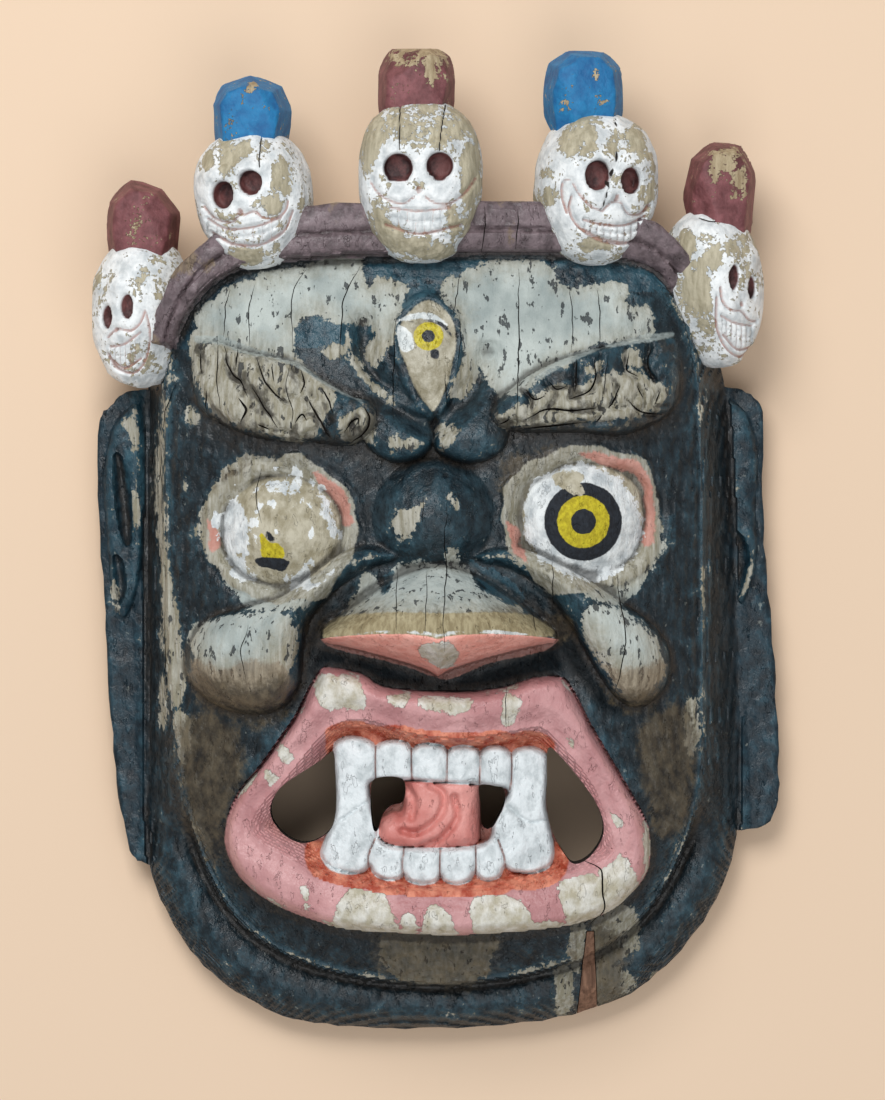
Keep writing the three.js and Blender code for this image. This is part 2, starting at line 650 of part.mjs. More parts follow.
// How deep the skull's face is cut at (u, v), both in half sizes of the head
function skullCut(u, v) {
  const f = skullForm;
  const side = Math.abs(u);
  const socket = Math.hypot((side - f.socketAt[0]) / 0.95, v - f.socketAt[1]) / f.socketRadius;
  let cut = f.socketDepth * (1 - ease((socket - 0.62) / 0.5));
  cut += f.noseDepth * mound({ at: [0, -0.2], radii: [0.1, 0.12] }, side, v, 1);
  cut -= f.browRise * mound({ at: [0.3, 0.36], radii: [0.34, 0.16] }, side, v, 1);
  const lip = f.lipLine + f.lipSag * (side - 0.05) ** 2;
  const bite = f.biteLine + f.biteSag * side ** 2;
  const grin = 1 - ease((side - 0.7) / 0.12);
  const groove = (gap, width) => Math.max(0, 1 - (gap / width) ** 2);
  cut += f.grooveDepth * grin * groove(v - lip, 0.075);
  cut += 0.8 * f.grooveDepth * grin * groove(v - bite, 0.07);
  return cut;
}

// A point of a head on its own axes, wrapped back from the middle of its face
function wrapped(u, v) {
  const [x, y] = roundPatch(u, v);
  const radius = Math.hypot(x, y);
  const lean = radius * THREE.MathUtils.degToRad(skullWrap);
  const share = radius > 1e-9 ? Math.sin(lean) / radius : 1;
  return new THREE.Vector3(x * share, y * share, Math.cos(lean));
}

// Pushes a round form towards a box, a power below 1 on each axis
function squared(p, power) {
  for (const axis of ["x", "y", "z"]) p[axis] = Math.sign(p[axis]) * Math.abs(p[axis]) ** power;
  return p;
}

function headSolid(grid, size, at, yaw, roll, ownPoint) {
  const scale = [(size[0] / 2) * across, (size[1] / 2) * along, (size[2] / 2) * outward];
  const spot = place(at[0], at[1], at[2] - drawnRim);
  const frame = new THREE.Matrix4()
    .makeTranslation(spot)
    .multiply(new THREE.Matrix4().makeRotationY(THREE.MathUtils.degToRad(yaw)))
    .multiply(new THREE.Matrix4().makeRotationZ(THREE.MathUtils.degToRad(roll)))
    .multiply(new THREE.Matrix4().makeScale(...scale));
  const surface = adaptiveSurface(grid, (u, v) => ownPoint(u, v).applyMatrix4(frame), skullError);
  const rear = new THREE.Vector3(0, 0, Math.cos(THREE.MathUtils.degToRad(skullWrap)));
  return closedPatch(surface, rear.applyMatrix4(frame));
}

function skullSolid({ at, size, yaw, roll }) {
  const own = (u, v) => {
    const p = squared(wrapped(u, v), skullForm.squareness);
    if (p.z > 0) p.z -= skullCut(p.x, p.y) * ease(p.z / 0.3);
    p.x *= 1 - skullForm.jawTaper * ease((-p.y - 0.05) / 0.8);
    return p;
  };
  return headSolid(32, size, at, yaw, roll, own);
}

function knobSolid({ knobAt, knob, yaw }) {
  const own = (u, v) => squared(wrapped(u, v), knobSquareness);
  return headSolid(8, knob, knobAt, 0.4 * yaw, 0, own);
}

// The split at the chin and the bare wooden splint let into it
const splintAt = { x: 64.5, lean: -3.2 };
const chinY = footEdge.box.min.y;

function splintPrism(shrink) {
  const runOut = 12;
  const headY = chinY * along + splintLength;
  const footY = headY - splintLength - runOut;
  const headX = (splintAt.x + 0.6) * across;
  const footX = headX + splintAt.lean * 0.4;
  const halfFoot = mix(splintHead, splintFoot, 1 + runOut / splintLength) / 2 - shrink;
  const halfHead = splintHead / 2 - shrink;
  const shape = new THREE.Shape([
    new THREE.Vector2(headX - halfHead, headY - shrink),
    new THREE.Vector2(footX - halfFoot, footY),
    new THREE.Vector2(footX + halfFoot, footY),
    new THREE.Vector2(headX + halfHead, headY - shrink),
  ]);
  const geometry = new THREE.ExtrudeGeometry(shape, { depth: 3 * overTop, bevelEnabled: false });
  return solidOf(geometry.translate(0, 0, -overTop));
}

const openings = [leftCornerHole, rightCornerHole, leftTongueGap, rightTongueGap];

function wholeMask() {
  const shell = joined([rimSolid(), boardsSolid(), faceSolid(), featureSolids()]);
  const cuts = joined([hollowSolid(), ...openings.map((gap) => prism(gap, underneath, overTop))]);
  const heads = joined(skulls.flatMap((skull) => [skullSolid(skull), knobSolid(skull)]));
  return shell.subtract(cuts).add(heads);
}

const whole = wholeMask();
const maskSolid = whole.subtract(splintPrism(0));
const aboveFloor = solidOf(
  new THREE.BoxGeometry(2 * maskWidth, 2 * maskHeight, overTop * 2).translate(0, 0, overTop),
);
const splintSolid = whole
  .translate([0, 0, -splintStep])
  .intersect(splintPrism(fitGap))
  .intersect(aboveFloor);

// Finishes
const paintedWood = new THREE.MeshStandardMaterial({ color: "#33444e", roughness: 0.55, metalness: 0 });
const bareWood = new THREE.MeshStandardMaterial({ color: "#9a7357", roughness: 0.8, metalness: 0 });

function piece(name, solid, material) {
  const mesh = new THREE.Mesh(geometryOf(solid), material);
  mesh.name = name;
  return mesh;
}

const model = new THREE.Group();
model.add(piece("mask", maskSolid, paintedWood));
model.add(piece("repair_splint", splintSolid, bareWood));

export default model;
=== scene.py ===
import functools
import math
import bpy
import numpy as np
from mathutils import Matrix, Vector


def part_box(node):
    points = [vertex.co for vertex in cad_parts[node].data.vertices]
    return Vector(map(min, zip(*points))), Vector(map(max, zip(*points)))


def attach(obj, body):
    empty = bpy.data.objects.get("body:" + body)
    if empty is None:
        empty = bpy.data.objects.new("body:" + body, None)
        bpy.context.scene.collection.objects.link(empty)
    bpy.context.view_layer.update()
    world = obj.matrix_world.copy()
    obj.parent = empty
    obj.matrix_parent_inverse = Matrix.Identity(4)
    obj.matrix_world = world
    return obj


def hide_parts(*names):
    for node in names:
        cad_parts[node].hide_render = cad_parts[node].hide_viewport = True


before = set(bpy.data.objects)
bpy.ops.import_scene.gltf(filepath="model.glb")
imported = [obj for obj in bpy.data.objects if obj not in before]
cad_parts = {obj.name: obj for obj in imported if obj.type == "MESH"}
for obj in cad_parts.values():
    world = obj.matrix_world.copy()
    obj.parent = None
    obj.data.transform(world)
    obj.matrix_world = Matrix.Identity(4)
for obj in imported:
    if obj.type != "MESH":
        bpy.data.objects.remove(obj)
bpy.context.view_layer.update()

# The carving is laid out in millimetres: x to the viewer's right, y up the face, z out of it, and
# the back rim at z = 0. It was drawn at these sizes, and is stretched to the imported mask's box.
drawn = {"width": 295, "height": 420, "depth": 108}
mm = 0.001
maskLow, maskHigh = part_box("mask")
across = (maskHigh.x - maskLow.x) / (drawn["width"] * mm)
along = (maskHigh.y - maskLow.y) / (drawn["height"] * mm)
outward = (maskHigh.z - maskLow.z) / (drawn["depth"] * mm)


# Small helpers
def clamp(t):
    return np.clip(t, 0.0, 1.0)


def mix(a, b, t):
    return a + (b - a) * t


def ease(t):
    t = clamp(t)
    return t * t * (3 - 2 * t)


def quarterRound(depth, radius):
    # 0 at the edge of a form, 1 once the depth is past the radius
    t = 1 - clamp(depth / radius)
    return np.sqrt(1 - t * t)


def softMax(a, b, width):
    t = clamp(0.5 + 0.5 * (a - b) / width)
    return mix(b, a, t) + width * t * (1 - t)


def smoothCurve(points, closed=False, steps=5):
    # a Catmull-Rom curve through a few given points
    p = np.array(points, float)
    if closed:
        p = np.vstack([p[-1], p, p[0], p[1]])
    else:
        p = np.vstack([2 * p[0] - p[1], p, 2 * p[-1] - p[-2]])
    t = (np.arange(steps) / steps)[:, None]
    spans = []
    for a, b, c, d in zip(p[:-3], p[1:-2], p[2:-1], p[3:]):
        spans.append(0.5 * (2 * b + (c - a) * t + (2 * a - 5 * b + 4 * c - d) * t ** 2
                            + (3 * b - a - 3 * c + d) * t ** 3))
    curve = np.vstack(spans)
    return curve if closed else np.vstack([curve, p[-2]])


def outline(*points, steps=5):
    return smoothCurve(points, closed=True, steps=steps)


def outlines(*rings):
    return [outline(*ring) for ring in rings]


def curves(*paths, steps=5):
    return [smoothCurve(path, steps=steps) for path in paths]


def distanceTo(path, x, y, closed=False):
    ends = np.roll(path, -1, axis=0) if closed else path[1:]
    starts = path if closed else path[:-1]
    nearest = np.full(x.shape, 1e9)
    for (ax, ay), (bx, by) in zip(starts, ends):
        dx, dy = bx - ax, by - ay
        t = clamp(((x - ax) * dx + (y - ay) * dy) / (dx * dx + dy * dy + 1e-12))
        np.minimum(nearest, (x - ax - t * dx) ** 2 + (y - ay - t * dy) ** 2, out=nearest)
    return np.sqrt(nearest)


def near(path, x, y, margin):
    return ((x > path[:, 0].min() - margin) & (x < path[:, 0].max() + margin)
            & (y > path[:, 1].min() - margin) & (y < path[:, 1].max() + margin))


def depthIn(ring, x, y, margin=14.0):
    # distance in from an outline, negative outside it, and no less than -margin
    depth = np.full(x.shape, -margin)
    close = near(ring, x, y, margin)
    px, py = x[close], y[close]
    inside = np.zeros(px.shape, bool)
    for (ax, ay), (bx, by) in zip(ring, np.roll(ring, -1, axis=0)):
        if ay == by:
            continue
        crosses = ((ay > py) != (by > py)) & (px < ax + (bx - ax) * (py - ay) / (by - ay))
        inside ^= crosses
    away = distanceTo(ring, px, py, closed=True)
    depth[close] = np.maximum(np.where(inside, away, -away), -margin)
    return depth


def onLine(path, x, y, halfWidth):
    # 1 on a line, falling to 0 at the half width
    share = np.zeros(x.shape)
    close = near(path, x, y, halfWidth)
    share[close] = ease(1 - distanceTo(path, x[close], y[close]) / halfWidth)
    return share


def ellipseShare(x, y, at, radii, turn=0.0):
    angle = math.radians(turn)
    dx, dy = x - at[0], y - at[1]
    u = (dx * math.cos(angle) + dy * math.sin(angle)) / radii[0]
    v = (dy * math.cos(angle) - dx * math.sin(angle)) / radii[1]
    return u * u + v * v


def mound(x, y, at, radii, power, turn=0.0):
    return np.maximum(0, 1 - ellipseShare(x, y, at, radii, turn)) ** power


latticeSize = 32
lattice = np.random.default_rng(11).random((latticeSize,) * 3)


def valueNoise(points, size):
    # smooth noise from 0 to 1, with features about as large as size
    p = points / size
    cell = np.floor(p).astype(int)
    f = p - cell
    f = f * f * (3 - 2 * f)
    total = np.zeros(len(p))
    for corner in range(8):
        step = np.array([corner & 1, corner >> 1 & 1, corner >> 2 & 1])
        i, j, k = ((cell + step) % latticeSize).T
        weight = np.prod(np.where(step, f, 1 - f), axis=1)
        total += weight * lattice[i, j, k]
    return total


def fractal(points, size, octaves=3):
    total, share, whole = 0.0, 1.0, 0.0
    for octave in range(octaves):
        total = total + share * valueNoise(points + 37.0 * octave, size / 2 ** octave)
        whole += share
        share *= 0.55
    return total / whole


def planNoise(x, y, size, octaves=3, squash=1.0, shift=0):
    # fractal noise over the plan, stretched up the face where squash is under 1
    points = np.column_stack([x.ravel(), squash * y.ravel(), 0 * x.ravel()]) + shift
    return fractal(points, size, octaves).reshape(x.shape)


def roundedDepth(block, x, y):
    left, right, top, bottom, corner = block
    dx = np.abs(x - (left + right) / 2) - (right - left) / 2 + corner
    dy = np.abs(y - (top + bottom) / 2) - (top - bottom) / 2 + corner
    outside = np.hypot(np.maximum(dx, 0), np.maximum(dy, 0))
    return corner - outside - np.minimum(np.maximum(dx, dy), 0)


# Outlines of the block, the ear boards and the forms on the face
faceEdge = outline(
    (-115, 20), (-115.5, 58), (-111, 86), (-101, 104), (-84, 116), (-50, 120.5), (0, 122), (55, 122),
    (87, 117.5), (101, 104), (108, 84), (111, 55), (112, 0), (112, -70), (109.5, -108), (102, -134),
    (88, -157), (66, -174), (35, -184), (0, -187.5), (-36, -184), (-66, -174), (-86, -158),
    (-99, -136), (-107, -108), (-112, -68), (-114.5, -25))
footEdge = outline(
    (-125, 40), (-124, 78), (-115, 110), (-99, 128), (-80, 138), (-52, 143.5), (0, 145), (50, 144),
    (84, 139), (101, 129), (114, 108), (122, 78), (126, 40), (129, -40), (130, -110), (125.5, -143),
    (111.5, -168), (95, -186), (74, -199), (45, -206.5), (0, -209.8), (-32, -209.3), (-58, -206.5),
    (-79, -199), (-98, -186), (-112, -169), (-121, -150), (-125, -130), (-126, -60))
leftBoard = outline(
    (-112, 67.5), (-124, 66.5), (-134, 65), (-140, 60), (-145, 55), (-147, 46), (-146.8, 20), (-145, -15),
    (-143, -45), (-141.2, -75), (-138.6, -104), (-135, -124), (-132, -135), (-126, -138.5), (-115, -139),
    (-112, -100), (-112, -20), (-112, 40), steps=4)
rightBoard = outline(
    (112, 67), (122, 67.5), (131, 66), (138, 61), (140.2, 52), (140, 20), (141.5, -8), (144, -36),
    (146, -66), (147.2, -90), (147, -108), (144.5, -118.5), (138, -123.5), (128, -124.5), (114, -124.5),
    (112, -100), (112, -20), (112, 40), steps=4)
browOutlines = outlines(
    [(-105, 74), (-103, 84), (-97, 86), (-82, 81), (-69, 78), (-58, 75), (-48, 68), (-38, 62.5),
     (-29, 59), (-25.5, 53), (-29, 45), (-38, 40.5), (-52, 42), (-66, 42.5), (-80, 45), (-92, 50),
     (-102, 58)],
    [(104, 76), (101, 87.5), (90, 86.5), (79, 85), (65, 81), (53, 77.5), (42, 72.5), (34, 67.5), (25, 60),
     (22, 54), (26, 48.5), (40, 46), (58, 46.5), (76, 45), (90, 49), (100, 56), (104, 66)])
noseOutline = outline(
    (-14, -7), (0, -3), (15, -7), (28, -15), (41, -24), (49.5, -36), (49.5, -42), (44, -45.5), (34, -48),
    (22, -50.5), (11, -55), (3.4, -57.5), (-3, -56), (-12, -52.5), (-27, -48.5), (-40, -45.5),
    (-49, -41), (-47, -32), (-39, -23), (-28, -15))
thirdEyeOutline = outline(
    (-4, 104), (-12, 99.5), (-17.5, 92), (-17.8, 83), (-15, 74), (-11, 64), (-6, 57), (-2, 53.5),
    (2, 58), (6, 68), (8.6, 80), (9, 90), (4.5, 98.5))
lipOuter = outline(
    (-50, -54.5), (-46, -53), (-32, -56), (-24, -61), (-9, -63), (12, -63.5), (28, -61.5), (41, -57.5),
    (50, -57), (55.6, -60), (64, -76), (74, -93), (84, -110), (89.5, -121), (90.5, -130), (89.5, -139.5),
    (84.5, -147.5), (76, -155.5), (64, -161), (50, -164), (27, -166), (5, -167), (-17, -166), (-38, -164.7),
    (-52.6, -161), (-70, -154), (-83, -144.5), (-89.4, -133.7), (-90.8, -125), (-88.7, -115), (-84, -105),
    (-76, -95.5), (-67, -83), (-60, -73), (-54.5, -62), steps=3)
lipInner = outline(
    (-52, -83.5), (-46, -78), (-38, -74.3), (-27, -75), (-12, -79.6), (2, -81.7), (17, -81.5), (34, -78.6),
    (43, -77.6), (49, -81), (57, -90), (66, -102), (71, -113.5), (74.5, -123.6), (75, -133), (66, -138.5),
    (54, -141.5), (40, -146), (19.5, -148), (-1, -148.4), (-21, -147.4), (-38, -144.5), (-53, -140),
    (-63, -134.5), (-73, -129.5), (-79, -125), (-79.5, -118), (-74, -109), (-67, -102), (-59, -92), steps=3)
cornerHoles = outlines(
    [(-44.5, -89), (-50, -93), (-59, -98.5), (-67, -104.5), (-71, -112), (-70, -119), (-64, -125.5),
     (-57, -128), (-50, -126), (-45, -121), (-43.2, -112), (-43.6, -98)],
    [(46.8, -87.5), (52, -91), (60, -100.5), (67, -110.5), (70.3, -120), (69, -127.5), (64, -134),
     (58, -136.5), (54, -133), (49, -124), (46.6, -114), (46.3, -101)])
tongueHoles = outlines(
    [(-27, -100.5), (-15, -100.3), (-14.6, -110), (-20, -112.3), (-23.5, -116), (-25.5, -122),
     (-27.5, -121), (-28.5, -110)],
    [(17.6, -103.4), (24, -103.4), (28, -105), (28.4, -110), (26, -116), (22, -122), (18.6, -120),
     (18.2, -112)])
tongueOutline = outline(
    (-14.5, -97), (2, -97), (16.8, -99), (18, -110), (18, -121), (16, -129), (2, -132), (-14, -132),
    (-26, -128.5), (-25.5, -119), (-20, -114.5), (-15, -112.5))
teethOuter = outline(
    (-44.8, -89), (-43, -84), (-36, -82), (-28.5, -84), (-26.3, -86.4), (-24, -84.6), (-18, -83.6),
    (-12.6, -85), (-10.9, -87.4), (-8.6, -85.6), (-3, -84.8), (2.4, -86), (4.2, -88.4), (6, -86.6),
    (11, -85.8), (16.2, -87), (17.8, -89), (19.6, -87), (25, -86), (29.6, -87.6), (31, -89.6), (33, -87.6),
    (39, -86.4), (45, -88.6), (47, -93), (46.4, -104), (46, -112), (48, -122), (49.6, -131), (47.6, -138),
    (40, -140.8), (31, -139.8), (28.4, -138), (26.4, -142.2), (21, -143.8), (17, -142.4), (15.6, -140.4),
    (14, -143.6), (8.4, -145.4), (2.6, -144), (1.2, -141.8), (-0.6, -144.2), (-7, -145.4), (-13, -143.8),
    (-14.4, -141.4), (-16.2, -143), (-22, -143.6), (-27.4, -141), (-29, -137.6), (-31, -140), (-38, -141),
    (-46, -138.6), (-50, -133), (-48.5, -127), (-45, -119), (-43.4, -110), (-44, -98), steps=3)
teethInner = outline(
    (-27.6, -101.6), (-14, -101.2), (1, -102.2), (16, -103), (27.6, -104.4), (29.6, -107), (26.4, -112),
    (23, -118), (22.4, -125), (16, -128.4), (-1, -129.4), (-18.6, -128.4), (-24.6, -125), (-25, -119),
    (-27.4, -113), (-29, -106), steps=4)
toothJoints = curves(
    [(-26.2, -84), (-26.6, -92), (-26.4, -101)], [(-11, -85), (-11.3, -92), (-10.8, -101)],
    [(4.2, -86), (3.8, -94), (3.6, -101.6)], [(17.8, -86.6), (18, -94), (17.6, -102.4)],
    [(31, -87), (31.4, -96), (30.6, -105)], [(-29, -140), (-29.4, -133), (-26.6, -125.6)],
    [(-14.4, -144), (-15, -136), (-14.2, -128.6)], [(1.2, -145), (0.8, -137), (1.2, -129)],
    [(15.6, -144), (16.2, -136), (15.8, -128)], [(28.5, -141), (28.2, -134), (25.4, -126)],
    steps=3)
lobeOutlines = outlines(
    [(-3.5, 58), (-14, 64), (-27, 68), (-34, 61), (-34, 50), (-29, 39.5), (-19, 33.5), (-9, 34.5),
     (-3, 39.5), (-2, 48)],
    [(1, 57), (9, 64), (17, 68), (25, 62), (29.5, 52), (29, 42), (23, 35.5), (13, 33), (4, 35),
     (-1.5, 39.5), (-1, 48)])
podOutlines = outlines(
    [(-12, -6), (-20, -1.5), (-30, -0.5), (-42, -5), (-54, -14), (-66, -22.5), (-82, -27), (-97, -32),
     (-106, -43), (-107.5, -56), (-98, -68), (-82, -73.5), (-67, -71.5), (-58.5, -61), (-57, -47),
     (-54, -34), (-44, -22), (-30, -13), (-19, -10)],
    [(12, -6), (20, -2), (30, -1), (42, -4.5), (54, -10), (66, -17), (80, -26), (92, -35), (99.5, -47),
     (98.5, -60), (91, -68.5), (81, -70), (71.5, -62), (63, -48), (54, -33), (44, -20.5), (30, -12.5),
     (19, -10)])
furrows = curves(
    [(-6, 49), (-16, 57), (-25, 66), (-31, 78), (-31, 92)], [(3, 50), (10, 58), (17, 68), (21, 80)])
vein = smoothCurve([(-37.5, 92), (-37, 82), (-34, 74), (-27.5, 66), (-18, 60), (-8, 55)])
browRidges = curves(
    [(-102, 86), (-91, 85.4), (-84, 82.4), (-70, 78.6), (-60, 75.4), (-52, 70), (-44, 65), (-38, 62),
     (-32, 59)],
    [(42, 69), (50, 74.6), (56, 77.6), (66, 81), (78, 84.2), (90, 86.4), (99, 88)])
browFlames = [  # dark licks carved in the brows, as (half width, points)
    (2.0, [(-90.5, 83), (-89.6, 76), (-87, 69.5), (-82, 66.5), (-80, 60)]),
    (4.2, [(-81.5, 65), (-80, 59), (-82.5, 52), (-86, 49)]), (1.7, [(-85, 81), (-85.5, 73)]),
    (1.9, [(-76, 77.5), (-74, 69), (-68, 62), (-63, 58.5)]), (1.6, [(-72.5, 70), (-72, 60)]),
    (1.6, [(-78.5, 65), (-73, 56.5), (-67, 49)]), (2.2, [(-61, 73), (-57, 69), (-59, 63), (-62, 61)]),
    (2.0, [(-57, 63), (-52.5, 55), (-49, 49), (-45.5, 43.5)]), (3.4, [(-54, 63), (-48, 57), (-46, 51)]),
    (2.4, [(-60, 47), (-57.5, 52), (-52, 54), (-50, 49), (-54, 45)]),
    (1.8, [(-31, 57), (-28.6, 52), (-31, 45.5), (-38, 40.5)]),
    (2.2, [(-40, 45), (-36, 50), (-33.4, 52.4), (-32.6, 49), (-35, 47)]),
    (2.6, [(-101, 80), (-100.6, 72)]), (3.0, [(-98, 60), (-92, 53), (-85, 48)]),
    (1.8, [(-71, 47.5), (-62, 46), (-54, 43.5)]), (2.0, [(57.4, 78), (58, 70), (57, 61.5)]),
    (2.2, [(68.6, 80), (68, 70), (65, 63.6), (55.5, 60.6)]), (2.0, [(76, 66), (73, 58), (66, 50)]),
    (2.0, [(46, 55.6), (60, 55), (79, 57)]), (2.4, [(26, 49.6), (38, 51), (46, 56), (50, 62)]),
    (2.2, [(34, 47.6), (46, 48), (60, 50), (73, 51)]), (1.7, [(80, 60), (88, 53.6), (97, 54)]),
    (1.7, [(85, 66), (88, 60), (86, 54)]), (1.7, [(94, 64), (91, 58), (97, 58)]),
    (2.0, [(80, 82), (79, 73), (84, 69)]), (1.8, [(90, 84), (88, 75), (92, 68)]),
    (2.2, [(36, 64), (40, 59), (38, 54)]), (1.8, [(44, 70), (47, 65), (54, 65)]),
    (1.6, [(81, 57), (84, 62)]),
]
earForms = outlines(
    [(-128, 58), (-139, 51), (-143.5, 30), (-142.5, 4), (-140, -22), (-135.5, -33), (-130.5, -24),
     (-127, -4), (-125.5, 30)],
    [(114, 58), (124, 62), (134, 53), (137.5, 34), (136.5, 16), (137, -4), (134, -20), (128, -28),
     (121.5, -20), (117, -4), (114, 14), (111.5, 40)])
earScoops = outlines(
    [(-139.5, 37), (-135, 35), (-131.5, 18), (-131.5, 1), (-135, -1), (-138.5, 14)],
    [(-139.5, -6), (-135.5, -8), (-134, -20), (-136.8, -27), (-138.8, -20)],
    [(115, 52), (119.5, 52), (123.5, 34), (123, 12), (118.5, 11), (116, 28)],
    [(124, 4), (131, 3), (134, -9), (129, -24), (124, -14)])
boardRidges = curves(
    [(-130, 60), (-129.5, 20), (-127.5, -30), (-126, -80), (-124.5, -130)],
    [(119, -40), (126.6, -66), (130.5, -97), (130.5, -122)])
toothFlutes = curves(
    [(-43, -119), (-37, -115), (-30, -110)], [(30, -112), (38, -118.5), (46, -118)])
tongueFolds = curves(
    [(-3, -103), (2, -106), (2, -113), (-2, -119), (-9, -123), (-15, -122)],
    [(7, -108), (8, -117), (2, -125), (-7, -129)], [(-13, -104), (-10, -110), (-11, -117)])


# The carved front, as a height at each point of a fine grid. The dictionaries hold heights, radii and
# places in millimetres, and heights are above the rim.
rim = 16.0
domeSizes = {
    "rise": 24, "reach": 62, "crownShare": 0.7, "sideEdge": 29, "chinEdge": 19, "chinFrom": -96,
    "chinRun": 70, "crownEdge": 36, "crownFrom": 60, "crownRun": 50, "edgeDrop": 1.8, "edgeRadius": 5,
}
chinRim = smoothCurve([(0, -3), (0.1, 1), (0.3, 7), (0.5, 9.6), (0.7, 9), (0.88, 7.6),
                       (1, domeSizes["chinEdge"])])


def edgeLevel(y):
    d = domeSizes
    low = ease((d["chinFrom"] - y) / d["chinRun"])
    high = ease((y - d["crownFrom"]) / d["crownRun"])
    return mix(mix(d["sideEdge"], d["chinEdge"], low), d["crownEdge"], high)


def domeLevel(inFace, y):
    d = domeSizes
    rise = np.sin(clamp(inFace / d["reach"]) * math.pi / 2)
    crown = ease((y - d["crownFrom"]) / d["crownRun"])
    return edgeLevel(y) + d["rise"] * rise * mix(1, d["crownShare"], crown)


bandSizes = {
    "top": 47, "groove": 2.2, "grooveAt": 0.56, "grooveWidth": 0.09, "rounding": 2.6, "roundedShare": 0.3,
    "fall": 15, "leftFallShare": 0.55, "fallRun": 30, "leftEnd": 79, "rightEnd": 103, "endRun": 6,
    "sideCurve": 1.25, "chinFrom": -105, "chinRun": 30,
}
boardSizes = {
    "edgeDrop": 1.2, "edgeRadius": 3, "ear": 3.4, "earRadius": 5, "scoop": 5.0, "scoopRadius": 4.5,
    "ridge": 1.6, "ridgeWidth": 5,
}


def bandShare(x, y, run):
    # 0 below the ends of the crown's band, 1 above them
    return ease((y - np.where(x < 0, bandSizes["leftEnd"], bandSizes["rightEnd"])) / run)


def flangeShare(inFace, inFoot):
    # 0 at the foot of the sloping rim, 1 where it meets the face
    outer = np.maximum(inFoot, 0)
    return outer / (outer + np.maximum(-inFace, 0) + 1e-6)


def rimAndBand(x, y, inFace, inFoot):
    b = bandSizes
    share = flangeShare(inFace, inFoot)
    side = domeSizes["sideEdge"] * share ** b["sideCurve"]
    chin = np.interp(share, chinRim[:, 0], chinRim[:, 1])
    slope = mix(side, chin, ease((b["chinFrom"] - y) / b["chinRun"]))
    groove = b["groove"] * ease(1 - np.abs(share - b["grooveAt"]) / b["grooveWidth"])
    rounding = b["rounding"] * (1 - quarterRound(1 - np.abs(2 * share - 1), b["roundedShare"]))
    fall = b["fall"] * (1 - bandShare(x, y, b["fallRun"])) * np.where(x < 0, b["leftFallShare"], 1)
    return mix(slope, b["top"] - groove - rounding - fall, bandShare(x, y, b["endRun"]))


def earBoards(x, y):
    b = boardSizes
    inBoard = np.maximum(depthIn(leftBoard, x, y), depthIn(rightBoard, x, y))
    board = -b["edgeDrop"] * (1 - quarterRound(inBoard, b["edgeRadius"]))
    for form in earForms:
        board += b["ear"] * quarterRound(depthIn(form, x, y), b["earRadius"])
    for scoop in earScoops:
        board -= b["scoop"] * quarterRound(depthIn(scoop, x, y), b["scoopRadius"])
    for ridge in boardRidges:
        board += b["ridge"] * onLine(ridge, x, y, b["ridgeWidth"])
    return board


browSizes = {
    "furrow": 5.5, "furrowWidth": 8.5, "vein": 2.6, "veinWidth": 4.2, "proud": 10, "lean": -0.28,
    "leanFrom": 62, "sunk": 2, "sharpEdge": 2.6, "softEdge": 9.5, "softReach": 16, "hairSize": 4.5,
    "hairSquash": 0.6, "hair": 3.6, "flame": 2.4, "cutIn": 3, "ridgeWidth": 2.0, "lobe": 9.5,
    "lobeRadius": 10, "lobeFade": 0.85, "lobeFadeFrom": 42, "lobeFadeRun": 22,
}
thirdEyeSizes = {"rise": 2.2, "sink": 1.6, "ball": 2.6, "at": (-4, 84), "radii": (12, 22), "power": 0.8}


def browsAndForehead(x, y, z, dome, zones):
    b, third = browSizes, thirdEyeSizes
    for furrow in furrows:
        z = z - b["furrow"] * onLine(furrow, x, y, b["furrowWidth"])
    z = z + b["vein"] * onLine(vein, x, y, b["veinWidth"])
    inBrow = np.maximum(*[depthIn(ring, x, y) for ring in browOutlines])
    proud = b["proud"] + b["lean"] * (y - b["leanFrom"])
    fromRidge = np.minimum(*[distanceTo(path, x, y) for path in browRidges])
    edge = mix(b["sharpEdge"], b["softEdge"], ease(fromRidge / b["softReach"]))
    brow = dome - b["sunk"] + (proud + b["sunk"]) * quarterRound(inBrow, edge)
    flames = np.maximum.reduce([onLine(smoothCurve(path), x, y, width) for width, path in browFlames])
    hair = planNoise(x, y, b["hairSize"], squash=b["hairSquash"]) - 0.5
    brow += ease(inBrow / b["cutIn"]) * (b["hair"] * hair - b["flame"] * flames)
    z = np.where(inBrow > 0, np.maximum(z, brow), z)
    zones["brow"] = inBrow
    zones["flame"] = flames
    zones["browRidge"] = b["ridgeWidth"] - fromRidge
    inThird = depthIn(thirdEyeOutline, x, y)
    hollow = third["rise"] * ease((inThird + 3.5) / 3) - third["sink"] * ease((inThird - 0.5) / 2.5)
    z = z + hollow + third["ball"] * mound(x, y, third["at"], third["radii"], third["power"])
    zones["thirdEye"] = inThird
    for ring in lobeOutlines:
        fade = 1 - b["lobeFade"] * ease((y - b["lobeFadeFrom"]) / b["lobeFadeRun"])
        z = z + b["lobe"] * fade * quarterRound(depthIn(ring, x, y), b["lobeRadius"])
    return z


